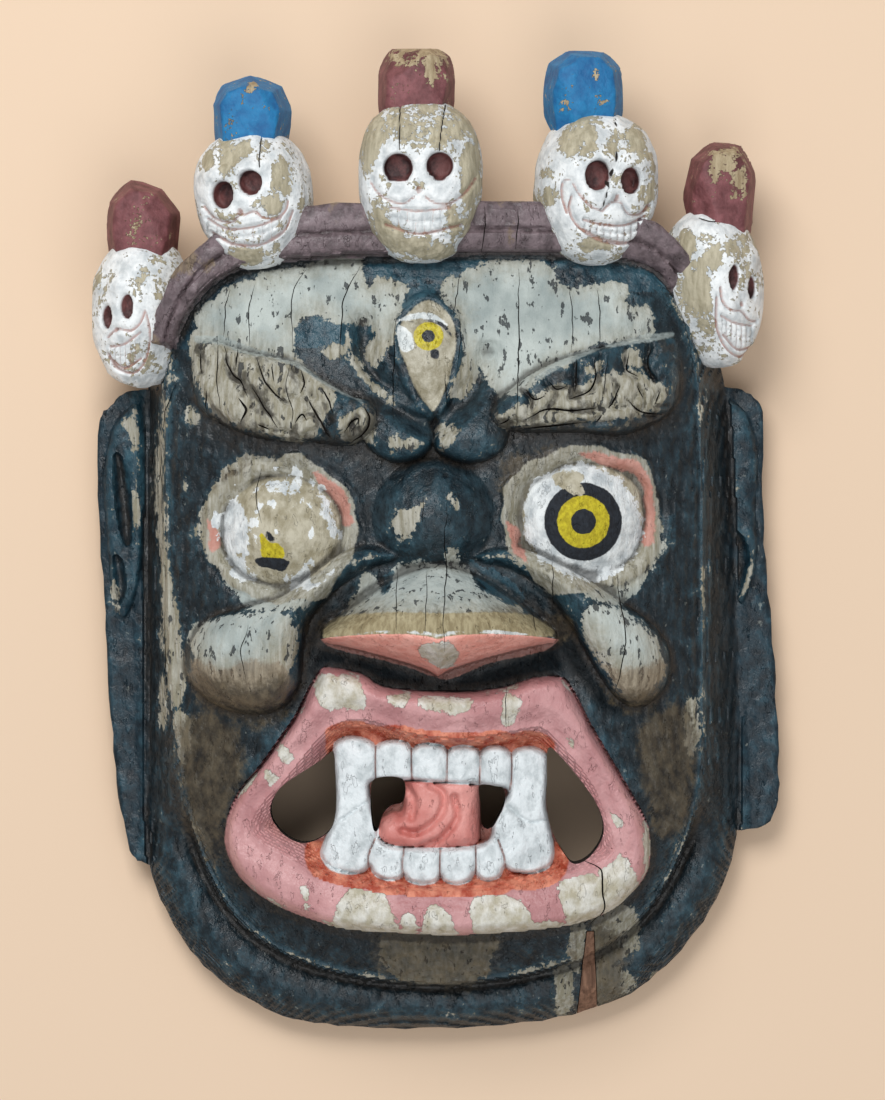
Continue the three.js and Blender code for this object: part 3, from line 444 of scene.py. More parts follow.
# The left eye, with its paint nearly gone, and the right eye, whole. What is within an eye is a share
# of its own radius.
eyes = {
    "left": {"at": (-66, 5), "radii": (26, 23.5)},
    "right": {"at": (62, 9.5), "radii": (26, 24.5)},
}
eyeSizes = {
    "socket": 10, "margins": (11, 10), "ball": 15.5, "ballCurve": 0.85, "lid": 2.6, "lidAt": 1.19,
    "lidWidth": 0.18, "lidEnd": 1.32, "linedAt": 1.12, "linedReach": 3.4, "waver": 12, "uneven": 0.10,
    "lidUneven": 0.24,
}
cheekSizes = {
    "muzzle": 9, "muzzleAt": (0, -52), "muzzleRadii": (72, 40), "root": 15, "rootAt": (-2, 11),
    "rootRadii": (26, 25), "rootPower": 1.15, "pod": 16, "podSunk": 6, "podRadius": 15, "podCurve": 0.9,
    "foldShare": 0.62, "foldFrom": 22, "foldRun": 40, "podBlend": 1.5,
}


def eyesAndCheeks(x, y, z, dome, zones):
    e, c = eyeSizes, cheekSizes
    for name in ("eyeball", "lid", "lidLine"):
        zones[name] = np.full(x.shape, -20.0)
    waver = planNoise(x, y, e["waver"], 2, shift=(0, 0, 70)) - 0.5
    for eye in eyes.values():
        rx, ry = eye["radii"]
        q = np.sqrt(ellipseShare(x, y, eye["at"], eye["radii"])) + e["uneven"] * waver
        lid = q + e["lidUneven"] * waver
        z = z - e["socket"] * mound(x, y, eye["at"], (rx + e["margins"][0], ry + e["margins"][1]), 1)
        z = z + e["ball"] * np.maximum(0, 1 - q * q) ** e["ballCurve"]
        z = z + e["lid"] * np.maximum(0, 1 - ((lid - e["lidAt"]) / e["lidWidth"]) ** 2)
        zones["eyeball"] = np.maximum(zones["eyeball"], (1.0 - q) * ry)
        zones["lid"] = np.maximum(zones["lid"], (e["lidEnd"] - lid) * ry)
        zones["lidLine"] = np.maximum(zones["lidLine"], e["linedReach"] - np.abs(lid - e["linedAt"]) * ry)
    z = z - c["muzzle"] * mound(x, y, c["muzzleAt"], c["muzzleRadii"], 1)
    z = z + c["root"] * mound(x, y, c["rootAt"], c["rootRadii"], c["rootPower"])
    inPod = np.maximum(*[depthIn(ring, x, y) for ring in podOutlines])
    swell = mix(c["foldShare"], 1.0, ease((np.abs(x) - c["foldFrom"]) / c["foldRun"]))
    swell = swell * quarterRound(inPod, c["podRadius"]) ** c["podCurve"]
    pod = dome - c["podSunk"] + (c["pod"] + c["podSunk"]) * swell
    return np.where(inPod > 0, softMax(z, pod, c["podBlend"]), z)


noseSizes = {
    "halfWidth": 50, "top": 91.4, "spread": 26, "foot": 42, "upperEdge": (-4, -33, 1.4),
    "lowerEdge": (-57.5, 15, 0.75), "underShare": 0.3, "underSlope": 0.35, "overCurve": 0.8,
    "underPaint": 0.315, "tall": 52, "soften": 0.09, "blend": 2.5,
}


def carveNose(x, y, zones):
    n = noseSizes
    inNose = depthIn(noseOutline, x, y)
    side = clamp(np.abs(x) / n["halfWidth"])
    upper, lower = [start + rise * side ** power for start, rise, power in (n["upperEdge"], n["lowerEdge"])]
    share = clamp((y - lower) / (upper - lower))
    crest = n["top"] - n["spread"] * side ** 2
    under = (n["underSlope"] * clamp(share / n["underShare"])
             + (1 - n["underSlope"]) * quarterRound(share, n["underShare"]))
    over = np.cos(math.pi / 2 * clamp((share - n["underShare"]) / (1 - n["underShare"]))) ** n["overCurve"]
    height = n["foot"] + (crest - n["foot"]) * -softMax(-under, -over, n["soften"])
    below = (n["underPaint"] - share) * n["tall"]
    zones["nose"] = inNose
    zones["noseUnder"] = np.minimum(inNose + 1, below)
    zones["noseEdge"] = np.where(inNose > 0.5, below, -20)
    return np.where(inNose > 0, height, -99)


mouthSizes = {
    "lip": 62, "lipFall": 17, "lipSpread": 90, "chinFall": 5, "chinFrom": -120, "chinRun": 45,
    "outerDrop": 15, "outerRadius": 6, "innerDrop": 4, "innerRun": 9, "leastStep": 10, "floor": 30,
    "cavityReach": 15, "cavityCurve": 1.25,
}
gumSizes = {
    "upper": (-48, 50, -70, -94, 6), "lower": (-61, 57, -127, -158, 8),  # left, right, top, foot, corner
    "top": 45, "radius": 6, "lap": 2,
}
toothSizes = {
    "top": 52, "fall": 6, "spread": 45, "drop": 9, "radius": 2.6, "joint": 2.0, "jointWidth": 1.1,
    "bow": 0.8, "bowWidth": 5.0, "flute": 1.3, "fluteWidth": 1.3,
}
tongueSizes = {"edge": 38, "top": 51, "radius": 8, "fold": 3.2, "foldWidth": 2.6}


def teethAndTongue(x, y, inside, fall, zones):
    t, tip = toothSizes, tongueSizes
    toothDepth = np.minimum(depthIn(teethOuter, x, y), -depthIn(teethInner, x, y))
    joints, bow = [np.maximum.reduce([onLine(joint, x, y, width) for joint in toothJoints])
                   for width in (t["jointWidth"], t["bowWidth"])]
    tooth = t["top"] - fall - t["drop"] * (1 - quarterRound(toothDepth, t["radius"]))
    tooth = tooth - t["joint"] * joints - t["bow"] * bow
    for flute in toothFlutes:
        tooth = tooth - t["flute"] * onLine(flute, x, y, t["fluteWidth"])
    inside = np.where(toothDepth > 0, np.maximum(inside, tooth), inside)
    tongueDepth = depthIn(tongueOutline, x, y)
    tongue = mix(tip["edge"], tip["top"], quarterRound(tongueDepth, tip["radius"]))
    for fold in tongueFolds:
        tongue = tongue - tip["fold"] * onLine(fold, x, y, tip["foldWidth"])
    onTongue = (tongueDepth > 0) & (tongue > inside) & (toothDepth <= 0)
    zones["tooth"] = np.where(zones["mouth"] > -2, toothDepth, -20)
    zones["joint"] = np.where(toothDepth > 0, joints, 0)
    zones["tongue"] = np.where(toothDepth > 0, -1, np.minimum(tongueDepth, 20))
    return np.where(onTongue, tongue, inside)


def carveMouth(x, y, z, zones):
    m, g = mouthSizes, gumSizes
    inOuter = depthIn(lipOuter, x, y)
    inInner = depthIn(lipInner, x, y, margin=40)
    crest = m["lip"] - m["lipFall"] * (x / m["lipSpread"]) ** 2
    crest = crest - m["chinFall"] * ease((m["chinFrom"] - y) / m["chinRun"])
    lip = crest - m["outerDrop"] * (1 - quarterRound(inOuter, m["outerRadius"]))
    lip = lip - m["innerDrop"] * (1 - ease(-inInner / m["innerRun"]))
    onLip = (inOuter > 0) & (inInner <= 0)
    z = np.where(onLip, np.maximum(lip, np.minimum(z, crest - m["leastStep"])), z)
    fall = toothSizes["fall"] * (x / toothSizes["spread"]) ** 2
    sunk = np.sin(math.pi / 2 * clamp(inInner / m["cavityReach"])) ** m["cavityCurve"]
    cavity = mix(crest - m["innerDrop"], m["floor"], sunk)
    inGums = np.maximum(roundedDepth(g["upper"], x, y), roundedDepth(g["lower"], x, y))
    gumDepth = np.minimum(inInner + g["lap"], inGums)
    gum = mix(m["floor"], g["top"] - fall, quarterRound(gumDepth, g["radius"]))
    zones["lip"] = np.minimum(inOuter, -inInner)
    zones["lipAll"] = inOuter
    zones["mouth"] = inInner
    zones["gum"] = np.where(inInner > -2, gumDepth, -20)
    inside = np.where(gumDepth > 0, np.maximum(cavity, gum), cavity)
    return np.where(inInner > 0, teethAndTongue(x, y, inside, fall, zones), z)


toolMarks = {  # feature size, octaves, squash, height on wood, height on smooth paint
    "gouge": (9, 3, 0.85, 2.2, 0.9), "fine": (3.2, 2, 0.7, 0.6, 0.6), "paintRun": 3, "join": 1.4,
}


def carvedFront(x, y):
    zones = {}
    inFace = depthIn(faceEdge, x, y, margin=60)
    inFoot = depthIn(footEdge, x, y, margin=60)
    dome = domeLevel(np.maximum(inFace, 0), y)
    z = dome - domeSizes["edgeDrop"] * (1 - quarterRound(inFace, domeSizes["edgeRadius"]))
    z = browsAndForehead(x, y, z, dome, zones)
    z = eyesAndCheeks(x, y, z, dome, zones)
    z = softMax(z, carveNose(x, y, zones), noseSizes["blend"])
    z = carveMouth(x, y, z, zones)
    around = np.where(inFoot < 0, earBoards(x, y), rimAndBand(x, y, inFace, inFoot))
    z = mix(around, z, ease((inFace + toolMarks["join"]) / (2 * toolMarks["join"])))
    zones["face"] = inFace
    zones["foot"] = inFoot
    smoothPaint = ease(np.maximum(zones["eyeball"], zones["lip"]) / toolMarks["paintRun"])
    for name, shift in (("gouge", 0), ("fine", 51)):
        size, octaves, squash, onWood, onPaint = toolMarks[name]
        z = z + (planNoise(x, y, size, octaves, squash, shift) - 0.5) * mix(onWood, onPaint, smoothPaint)
    return rim + outward * z, zones


gridStep = 0.8
gridX = np.arange(-152, 152 + gridStep / 2, gridStep)
gridY = np.arange(-214, 150 + gridStep / 2, gridStep)
planX, planY = np.meshgrid(gridX, gridY)
frontZ, zones = carvedFront(planX, planY)
print("carved front:", frontZ.shape, "heights", round(frontZ.min(), 1), "to", round(frontZ.max(), 1))


def fromGrid(values, x, y):
    # reads a grid at any points, between its nodes
    i = np.clip((x - gridX[0]) / gridStep, 0, len(gridX) - 1.001)
    j = np.clip((y - gridY[0]) / gridStep, 0, len(gridY) - 1.001)
    i0, j0 = i.astype(int), j.astype(int)
    u, v = i - i0, j - j0
    return ((values[j0, i0] * (1 - u) + values[j0, i0 + 1] * u) * (1 - v)
            + (values[j0 + 1, i0] * (1 - u) + values[j0 + 1, i0 + 1] * u) * v)


def blurred(values, radius):
    reach = max(1, int(radius / gridStep))
    for axis in (0, 1):
        pad = [(reach + 1, reach) if a == axis else (0, 0) for a in (0, 1)]
        total = np.cumsum(np.pad(values, pad, mode="edge"), axis=axis)
        size = values.shape[axis]
        high = np.take(total, range(2 * reach + 1, 2 * reach + 1 + size), axis=axis)
        low = np.take(total, range(0, size), axis=axis)
        values = (high - low) / (2 * reach + 1)
    return values


# Meshes
def meshObject(name, points, faces, material, smooth=True):
    mesh = bpy.data.meshes.new(name)
    mesh.from_pydata((np.asarray(points) * (across * mm, along * mm, mm)).tolist(), [], faces)
    mesh.update()
    mesh.materials.append(material)
    if smooth:
        mesh.polygons.foreach_set("use_smooth", [True] * len(mesh.polygons))
    piece = bpy.data.objects.new(name, mesh)
    bpy.context.scene.collection.objects.link(piece)
    return piece


def gridFaces(rows, columns, heights=None):
    index = np.arange(rows * columns).reshape(rows, columns)
    a, b, c, d = [part.ravel() for part in (index[:-1, :-1], index[:-1, 1:], index[1:, 1:], index[1:, :-1])]
    if heights is None:
        return np.stack((a, b, c, d), axis=1).tolist()
    # each cell is split along its flatter diagonal, so a steep edge isn't stepped
    flat = (np.abs(heights[a] - heights[c]) <= np.abs(heights[b] - heights[d]))[:, None]
    first = np.where(flat, np.stack((a, b, c), axis=1), np.stack((a, b, d), axis=1))
    second = np.where(flat, np.stack((a, c, d), axis=1), np.stack((b, c, d), axis=1))
    return np.vstack((first, second)).tolist()


def gridBorder(rows, columns):
    index = np.arange(rows * columns).reshape(rows, columns)
    return np.concatenate([index[0, :-1], index[:-1, -1], index[-1, :0:-1], index[:0:-1, 0]])


def sheetBlock(name, x, y, z, footLevel, material, splitCells=False):
    # a carved sheet closed over a flat foot
    rows, columns = z.shape
    sheet = np.column_stack([x.ravel(), y.ravel(), z.ravel()])
    border = gridBorder(rows, columns)
    foot = sheet[border] * (1, 1, 0) + (0, 0, footLevel)
    start, count = len(sheet), len(border)
    faces = gridFaces(rows, columns, z.ravel() if splitCells else None)
    for k in range(count):
        after = (k + 1) % count
        faces.append([border[after], border[k], start + k, start + after])
    faces.append(list(range(start + count - 1, start - 1, -1)))
    return meshObject(name, np.vstack([sheet, foot]), faces, material)


def doubleArea(ring):
    # positive where the ring runs anticlockwise
    ahead = np.roll(ring, -1, axis=0)
    return np.sum(ring[:, 0] * ahead[:, 1] - ahead[:, 0] * ring[:, 1])


def prism(name, ring, low, high, material):
    ring = ring[::-1] if doubleArea(ring) < 0 else ring
    count = len(ring)
    points = np.vstack([np.column_stack([ring, np.full(count, level)]) for level in (low, high)])
    faces = [list(range(count - 1, -1, -1)), list(range(count, 2 * count))]
    for k in range(count):
        after = (k + 1) % count
        faces.append([k, after, count + after, count + k])
    return meshObject(name, points, faces, material, smooth=False)


def inset(ring, distance):
    run = np.roll(ring, -1, axis=0) - np.roll(ring, 1, axis=0)
    run /= np.linalg.norm(run, axis=1)[:, None]
    normal = np.column_stack([-run[:, 1], run[:, 0]])
    return ring + normal * distance * np.sign(doubleArea(ring))


def combine(piece, tool, operation):
    # joins or cuts with a second solid, which is used up
    cut = piece.modifiers.new(operation, "BOOLEAN")
    cut.operation = operation
    cut.solver = "MANIFOLD"
    cut.object = tool
    cut.material_mode = "TRANSFER"
    applyModifiers(piece)
    bpy.data.objects.remove(tool)
    return piece


def applyModifiers(piece):
    graph = bpy.context.evaluated_depsgraph_get()
    mesh = bpy.data.meshes.new_from_object(piece.evaluated_get(graph))
    piece.modifiers.clear()
    old = piece.data
    piece.data = mesh
    bpy.data.meshes.remove(old)


def thinned(piece, triangles):
    now = sum(len(p.vertices) - 2 for p in piece.data.polygons)
    if now > triangles:
        piece.modifiers.new("thin", "DECIMATE").ratio = triangles / now
        applyModifiers(piece)


def vertices(piece):
    flat = np.empty(3 * len(piece.data.vertices), np.float32)
    piece.data.vertices.foreach_get("co", flat)
    return flat.reshape(-1, 3)


def keepInBox(piece):
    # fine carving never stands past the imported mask's own box
    inside = np.clip(vertices(piece), tuple(maskLow), tuple(maskHigh))
    piece.data.vertices.foreach_set("co", inside.ravel())
    piece.data.update()


def carry(piece, name, values):
    # a value at each vertex, for the shader
    layer = piece.data.attributes.new(name, "FLOAT", "POINT")
    layer.data.foreach_set("value", np.asarray(values, np.float32))


# Wear and painted shade on the front, as outlines. Each kind has how much its edge wavers in millimetres.
foreheadWear = [
    [(-104, 96), (-97, 103), (-84, 110), (-64, 116), (-45, 120.5), (-32, 119.5), (-30, 109), (-18, 107),
     (-11, 104), (-18, 96), (-22, 88), (-27, 93), (-36, 92), (-44, 93), (-52, 97), (-61, 91), (-62, 80),
     (-72, 80), (-84, 83.5), (-100, 88)],  # left
    [(0, 104), (8, 112), (20, 118), (38, 119), (50, 118), (54, 110), (66, 110), (79, 109), (80, 101),
     (88, 98), (91, 92), (90, 88), (76, 84), (60, 80.5), (48, 73), (36, 63), (26, 60), (22, 68), (14, 78),
     (9, 88), (8, 98)],  # right
]
wearAndShade = {
    "bare": (6, foreheadWear + [
        [(-26, 112), (-12, 108), (-13, 101), (-18.5, 93), (-19, 84), (-24, 84), (-28, 98)],
        [(-3, 107), (6, 105), (11, 96), (11, 84), (8.5, 72), (5, 62), (12, 64), (18, 76), (20, 98),
         (10, 112)],
        [(-44, 76), (-38, 81), (-44, 84), (-50, 80)], [(-26, 88), (-23, 84), (-26, 74), (-31, 80)],
        [(-38, 93), (-36, 82), (-30, 72), (-20, 61), (-22, 59), (-33, 70), (-39, 82)],  # the vein
        [(-104, 74), (-102, 92), (-84, 89), (-66, 84), (-54, 72), (-42, 64), (-50, 46), (-62, 44),
         (-80, 48), (-96, 54)],  # left brow
        [(-42, 42), (-28, 44), (-26, 53), (-32, 58), (-40, 54)],
        [(24, 54), (38, 60), (50, 66), (60, 66), (72, 72), (88, 70), (98, 62), (84, 52), (60, 50),
         (40, 48), (28, 48)],  # right brow
        [(62, 74), (70, 78), (71, 72), (64, 70)], [(78, 79), (84, 82), (86, 76), (80, 74)],
        [(-107, 58), (-101, 54), (-102, 49), (-107, 52)], [(-109, 30), (-105, 26), (-108, 20)],
        [(-112, 70), (-115.5, 54), (-117, 31), (-116.5, 2), (-113, -20), (-109, -40), (-108, -62),
         (-112, -70), (-116, -58), (-119, -20), (-120.5, 10), (-120, 40), (-117, 58)],  # left edge
        [(-110, -70), (-107, -76), (-109, -92), (-111, -80)],
        [(-117, -56), (-116, -66), (-118, -80), (-119, -64)],
        [(-101, 8), (-97, 22), (-88, 32), (-76, 36), (-60, 31), (-40, 20), (-35, 6), (-40, -10),
         (-50, -20), (-62, -28), (-76, -29), (-86, -22), (-96, -8)],  # round the left eye
        [(94, 2), (90, 22), (76, 34), (58, 37), (36, 30), (29, 14), (33, -2), (42, -13), (56, -20),
         (70, -26), (80, -25), (90, -13)],  # round the right eye
        [(-106, -40), (-98, -34), (-88, -32), (-75, -30), (-62, -33), (-60, -46), (-64, -58), (-76, -64),
         (-90, -64), (-99, -56)],  # left cheek
        [(62, -27), (76, -28), (87, -35), (94, -44), (97, -56), (88, -65), (78, -63), (70, -54),
         (63, -40)],
        [(-19, -12), (-8, -9), (8, -9), (14, -13), (20, -21), (31, -24), (41, -32), (44, -39), (0, -41),
         (-44, -40), (-41, -30), (-36, -22), (-30, -14), (-26, -17), (-22, -21)],  # nose
        [(-4, 22), (-1.5, 18), (-6, 14), (-9, 7), (-15, 3), (-18, 7), (-15, 14), (-10, 14)],
        [(2, 19), (6, 22), (10, 16), (8, 12), (4, 15)], [(4, -3), (8, -4), (9, -10), (3, -10)],
        [(-20, 44), (-10, 44), (-9, 38), (-20, 38)], [(3, 49), (9, 46), (4, 40), (1, 44)],
        [(-22, -167.5), (22, -167.5), (17, -188), (-17, -188)],  # chin
        [(51, -184), (58, -184), (58, -206), (52, -206)],
        [(58, -163), (64, -163), (61, -184), (57, -182)],
        [(66, -157), (80, -153), (86, -160), (87, -171), (78, -180), (67, -182)],
        [(68, -184), (78, -182), (85, -188), (78, -198), (69, -202)],
        [(106, -68), (111, -68), (111, -84), (107, -90)], [(92, -186), (98, -184), (94, -190)],
        [(-136, 52), (-130, 52), (-130, 40), (-133, 44)], [(-139, -20), (-137, -22), (-138, -30)],
    ]),
    "pale": (0, foreheadWear + [
        [(-22, -8), (18, -8), (30, -26), (0, -30), (-34, -26)],
        [(-98, -20), (-80, -14), (-40, -8), (-44, -22), (-62, -32), (-76, -52), (-96, -52), (-104, -40)],
        [(40, -10), (60, -22), (90, -14), (96, 0), (90, -30), (92, -50), (76, -50), (60, -30)],
    ]),
    "shade": (4, [
        [(-50, -44), (-30, -50), (-12, -55), (3, -60), (12, -57), (28, -52), (48, -45), (54, -54),
         (46, -57), (28, -61), (12, -63.5), (-9, -63), (-24, -61), (-32, -56), (-46, -53), (-54, -56)],
        [(-46, -24), (-54, -34), (-58, -48), (-60, -60), (-67, -72), (-62, -74), (-54, -58), (-50, -44)],
        [(47, -24), (56, -36), (64, -50), (72, -64), (80, -72), (70, -72), (60, -60), (52, -46)],
        [(-20, 33), (-4, 39), (2, 39), (16, 33), (8, 30), (-1, 34), (-12, 30)],
    ]),
    "podBrown": (7, [
        [(-105, -50), (-92, -53), (-78, -50), (-62, -54), (-62, -64), (-74, -71), (-92, -71), (-103, -64)],
        [(68, -50), (80, -54), (97, -50), (95, -62), (84, -68), (74, -60)],
    ]),
    # painted shade: darkened under the brows, under the brow lobes and beside the cheek folds
    "soot": (8, [
        [(24, 50), (60, 49), (98, 58), (100, 46), (60, 38), (28, 40)],
        [(-100, 54), (-80, 46), (-60, 41), (-36, 38), (-60, 34), (-86, 38), (-104, 46)],
        [(-38, 40), (-20, 35), (-2, 38), (14, 34), (30, 37), (24, 31), (10, 31), (-2, 35), (-16, 30),
         (-34, 34)],
        [(-52, -26), (-58, -44), (-62, -60), (-70, -72), (-56, -66), (-48, -52), (-44, -40)],
        [(50, -24), (58, -40), (66, -56), (72, -68), (60, -62), (52, -46)],
    ]),
    "kept": (4, [
        [(13, -8), (24, -13), (36, -22), (33, -26), (22, -22), (16, -16)],
        [(38, -27), (46, -33), (42, -36), (36, -31)], [(-22, -14), (-19, -13), (-20, -20), (-24, -22)],
        [(-14, 98), (-8, 103), (-2, 104), (2, 109), (-6, 110), (-14, 105)],
    ]),
    "brown": (8, [
        [(-108, -76), (-84, -76), (-84, -98), (-90, -118), (-94, -138), (-104, -128), (-109, -100)],
        [(-100, -56), (-80, -60), (-64, -58), (-66, -74), (-84, -78), (-100, -70)],
        [(66, -58), (80, -62), (96, -56), (100, -66), (90, -76), (74, -72)],
        [(82, -76), (111, -68), (111, -120), (92, -128), (84, -104)],
        [(28, 36), (58, 38), (60, 26), (46, 20), (30, 12)],
        [(-44, -31), (44, -31), (48, -40), (-48, -40)],
        [(-24, -167), (24, -167), (18, -189), (-18, -189)],
        [(62, -160), (84, -168), (80, -202), (60, -206)],
        [(-98, 8), (-92, 26), (-80, 32), (-84, 20), (-90, 6)],
    ]),
    "rubbed": (10, [
        [(-62, 92), (-44, 97), (-26, 92), (-18, 70), (-6, 56), (-20, 52), (-44, 66), (-60, 80)],
        [(-30, 121), (80, 121), (100, 104), (96, 92), (80, 104), (50, 112), (0, 108), (-30, 110)],
        [(4, 56), (16, 66), (24, 62), (22, 50), (10, 46)],
        [(34, 70), (60, 80), (100, 87), (98, 70), (64, 68)],
        [(-28, 52), (28, 52), (26, 30), (0, 28), (-26, 32)], [(-24, 26), (22, 26), (22, -4), (-22, -4)],
        [(-60, -22), (-20, -2), (-22, -12), (-50, -30)], [(20, -2), (60, -20), (50, -28), (22, -12)],
        [(22, -14), (44, -28), (49, -38), (40, -30), (26, -20)],
        [(-134, 62), (-122, 62), (-126, 20), (-138, 30)],
    ]),
    "loss": (5, [
        [(-52, -56), (-34, -57), (-31, -70), (-40, -71), (-50, -70)],
        [(-22, -64), (-11, -64), (-13, -68), (-20, -69)],
        [(-7, -65), (14, -66), (12, -72), (2, -73), (-6, -71)],
        [(28, -64), (35, -67), (31, -78), (27, -77)], [(-69, -84), (-61, -91), (-66, -94)],
        [(-74, -95), (-67, -100), (-70, -104), (-74, -100)],
        [(-38, -146), (-24, -148), (-18, -160), (-20, -168), (-43, -166)],
        [(-15, -159), (-10, -158), (-9, -168), (-14, -168)],
        [(-4, -153), (4, -156), (6, -168), (-6, -168)],
        [(15, -150), (30, -150), (40, -160), (38, -168), (16, -168)],
        [(52, -142), (70, -140), (70, -158), (56, -164)],
        [(66, -134), (78, -132), (86, -148), (78, -158), (70, -158)],
        [(71, -112), (78, -119), (74, -120)], [(53, -82), (58, -84), (57, -89)],
        [(88, -118), (92, -124), (90, -141), (87, -136)],
        [(-58, -146), (-54, -148), (-54, -156), (-57, -155)],
        [(-8, -44), (3, -42), (10, -47), (4, -54), (-6, -50)],
    ]),
    "lidPink": (0, [
        [(58, 38), (80, 38), (94, 20), (92, 0), (84, 0), (82, 20), (70, 31)],
        [(-54, 30), (-40, 24), (-34, 10), (-40, 6), (-46, 18)],
        [(-102, 8), (-94, 8), (-92, -2), (-100, -4)], [(28, 8), (34, 6), (38, -8), (34, -10)],
    ]),
    "leftWhite": (0, [
        [(-92, 16), (-86, 20), (-80, 16), (-80, 2), (-86, -4), (-92, 2)],
        [(-76, 28), (-62, 28), (-58, 20), (-76, 20)],
        [(-50, 22), (-43, 14), (-41, 2), (-45, -2), (-50, 8)],
        [(-88, -4), (-80, -12), (-70, -16), (-72, -20), (-86, -14)],
    ]),
    "bite": (0, [[(49, 24), (54, 21.5), (58, 19.5), (62, 20.5), (60.5, 25), (62, 29), (50, 30)]]),
    "ghostYellow": (0, [[(-75, 4), (-71, 0), (-66, -1), (-65, -7), (-74, -7), (-75, -1)]]),
    "ghostBlack": (0, [
        [(-76, -6.5), (-63, -7.5), (-65, -12.5), (-71, -11.5), (-77, -9.5)],
        [(-72, 4.5), (-68, 0.5), (-70, -0.5), (-73, 2)],
    ]),
    "thirdWhite": (0, [
        [(-18, 93.5), (-10, 97), (-2, 97), (4, 92), (2, 91), (-6, 94), (-13, 93.5)],
        [(-17, 92), (-11, 88), (-10, 82), (-14, 80), (-17, 84)],
    ]),
    "thirdBlack": (0, [
        [(-15.5, 92.8), (-8, 93.9), (-2, 94.3), (3, 92.2), (6.6, 87), (5.4, 86.4), (1.6, 90.8),
         (-3, 92.8), (-8, 92.6)],
        [(-3, 81.5), (0.5, 81), (0, 77), (-3, 78)],
    ]),
    "noseBand": (0, [
        [(-44, -32), (-20, -29), (0, -29.5), (20, -29), (40, -31), (48, -40), (0, -44), (-46, -42)],
    ]),
}
wearSizes = {
    "cloud": 14, "streak": 4.2, "squash": 0.7,  # noise feature sizes, and how they stretch up the face
    "crestReach": 5.0, "crestHeight": 5.0, "chipFrom": 0.78, "mouthCrest": 0.34, "noBareBelowNose": -38,
    "rightIris": (61.4, 8.5), "eyeWhite": 25, "thirdIris": (-4, 87), "thirdIrisSquash": 1.04,
    "browDarkTop": (66, 60), "browDarkEdge": 7, "browDarkRun": 14, "outerBand": -85, "lessBrownFrom": 60,
    "rubbedLipAt": 1.2,
}


def paintFields():
    # what the shader reads at each point: mostly millimetres in from an edge, negative outside it
    x, y, w = planX, planY, wearSizes
    cloud = planNoise(x, y, w["cloud"], squash=w["squash"]) - 0.5
    streaks = planNoise(x, y, w["streak"], squash=w["squash"], shift=90) - 0.5
    fields = {name: np.maximum.reduce([depthIn(outline(*ring), x, y) for ring in rings]) + uneven * cloud
              for name, (uneven, rings) in wearAndShade.items()}
    crest = clamp(0.5 + (frontZ - blurred(frontZ, w["crestReach"])) / w["crestHeight"])
    inEye, face, foot, brow = zones["eyeball"], zones["face"], zones["foot"], zones["brow"]
    onBand = bandShare(x, y, bandSizes["endRun"]) > 0.4
    inMouth = np.maximum(zones["lip"], zones["mouth"])
    bare = np.maximum(fields["bare"], 7 * (crest - w["chipFrom"]) + 5 * cloud - 1.6)
    bare = np.where((np.abs(zones["nose"]) < 3) & (y < w["noBareBelowNose"]), -9, bare)
    # darker along the lower edge of each brow: painted shade under its overhang
    browDirt = (ease((w["browDarkEdge"] - brow) / w["browDarkEdge"])
                * ease((mix(*w["browDarkTop"], ease(x / 20)) - y) / w["browDarkRun"]))
    leftWhite = np.maximum(fields.pop("leftWhite") - 1, 26 * streaks - 2.2)
    rightEye = np.hypot(x - w["rightIris"][0], y - w["rightIris"][1])
    thirdX, thirdY = w["thirdIris"]
    eyeWhite = np.where(x < 0, leftWhite, w["eyeWhite"] - rightEye) + 9 * cloud
    bandBare = np.where(onBand & (face < 0), 14 * cloud - 3.6, -9)
    rubbedLip = 1.4 - np.abs(zones["lipAll"] - w["rubbedLipAt"]) + 12 * cloud - 1.0
    fields.update({name: zones[name] for name in ("joint", "flame", "lid", "noseUnder", "mouth", "tooth")})
    fields.update({
        "flange": np.where(onBand, 0, flangeShare(face, foot)), "bare": np.where(inMouth > 0, -9, bare),
        "brown": fields["brown"] - np.where(x > w["lessBrownFrom"], 4, 0),
        "browDirt": np.where(brow > 0, 10 * streaks + 1.4 * zones["flame"] + 2.0 * browDirt - 0.35, -5),
        "browRidge": zones["browRidge"] + 3 * cloud, "thirdCream": zones["thirdEye"] - 1.2,
        "band": np.where(onBand, np.minimum(foot + 0.6, 0.4 - face), -5),
        "bandBare": bandBare + np.where(x < w["outerBand"], 2.6, 0),
        "lidPink": np.minimum(zones["lidLine"], fields["lidPink"]), "eyeball": inEye, "iris": rightEye,
        "eyeWhite": np.where(inEye > -4, eyeWhite, -9),
        "thirdIris": np.hypot(x - thirdX, (y - thirdY) * w["thirdIrisSquash"]),
        "noseBand": np.minimum(zones["nose"] - 0.5, fields["noseBand"]),
        "noseWhite": 1.0 - np.abs(zones["noseEdge"] + 1.0) + 3 * cloud, "lip": zones["lipAll"],
        "gum": np.minimum(zones["gum"], zones["tooth"] + 7),
        "tongue": np.where(zones["mouth"] > 0, zones["tongue"], -5),
        "loss": np.where(np.maximum(zones["lip"], zones["noseUnder"]) > 0,
                         np.maximum(fields["loss"], rubbedLip), -9),
        "proud": mix(crest, np.maximum(crest, w["mouthCrest"]), ease((inMouth + 1) / 2)),
    })
    return fields


# Materials. Colours are sRGB hex, and patterns scale from sizes in millimetres.
def addNode(tree, kind, inputs=None, output=0, **settings):
    node = tree.nodes.new(kind)
    for name, value in settings.items():
        setattr(node, name, value)
    for name, value in (inputs or {}).items():
        if isinstance(value, bpy.types.NodeSocket):
            tree.links.new(value, node.inputs[name])
        else:
            node.inputs[name].default_value = value
    return node.outputs[output] if len(node.outputs) else node


def newMaterial(name):
    material = bpy.data.materials.new(name)
    material.use_nodes = True
    material.node_tree.nodes.clear()
    return material, functools.partial(addNode, material.node_tree)


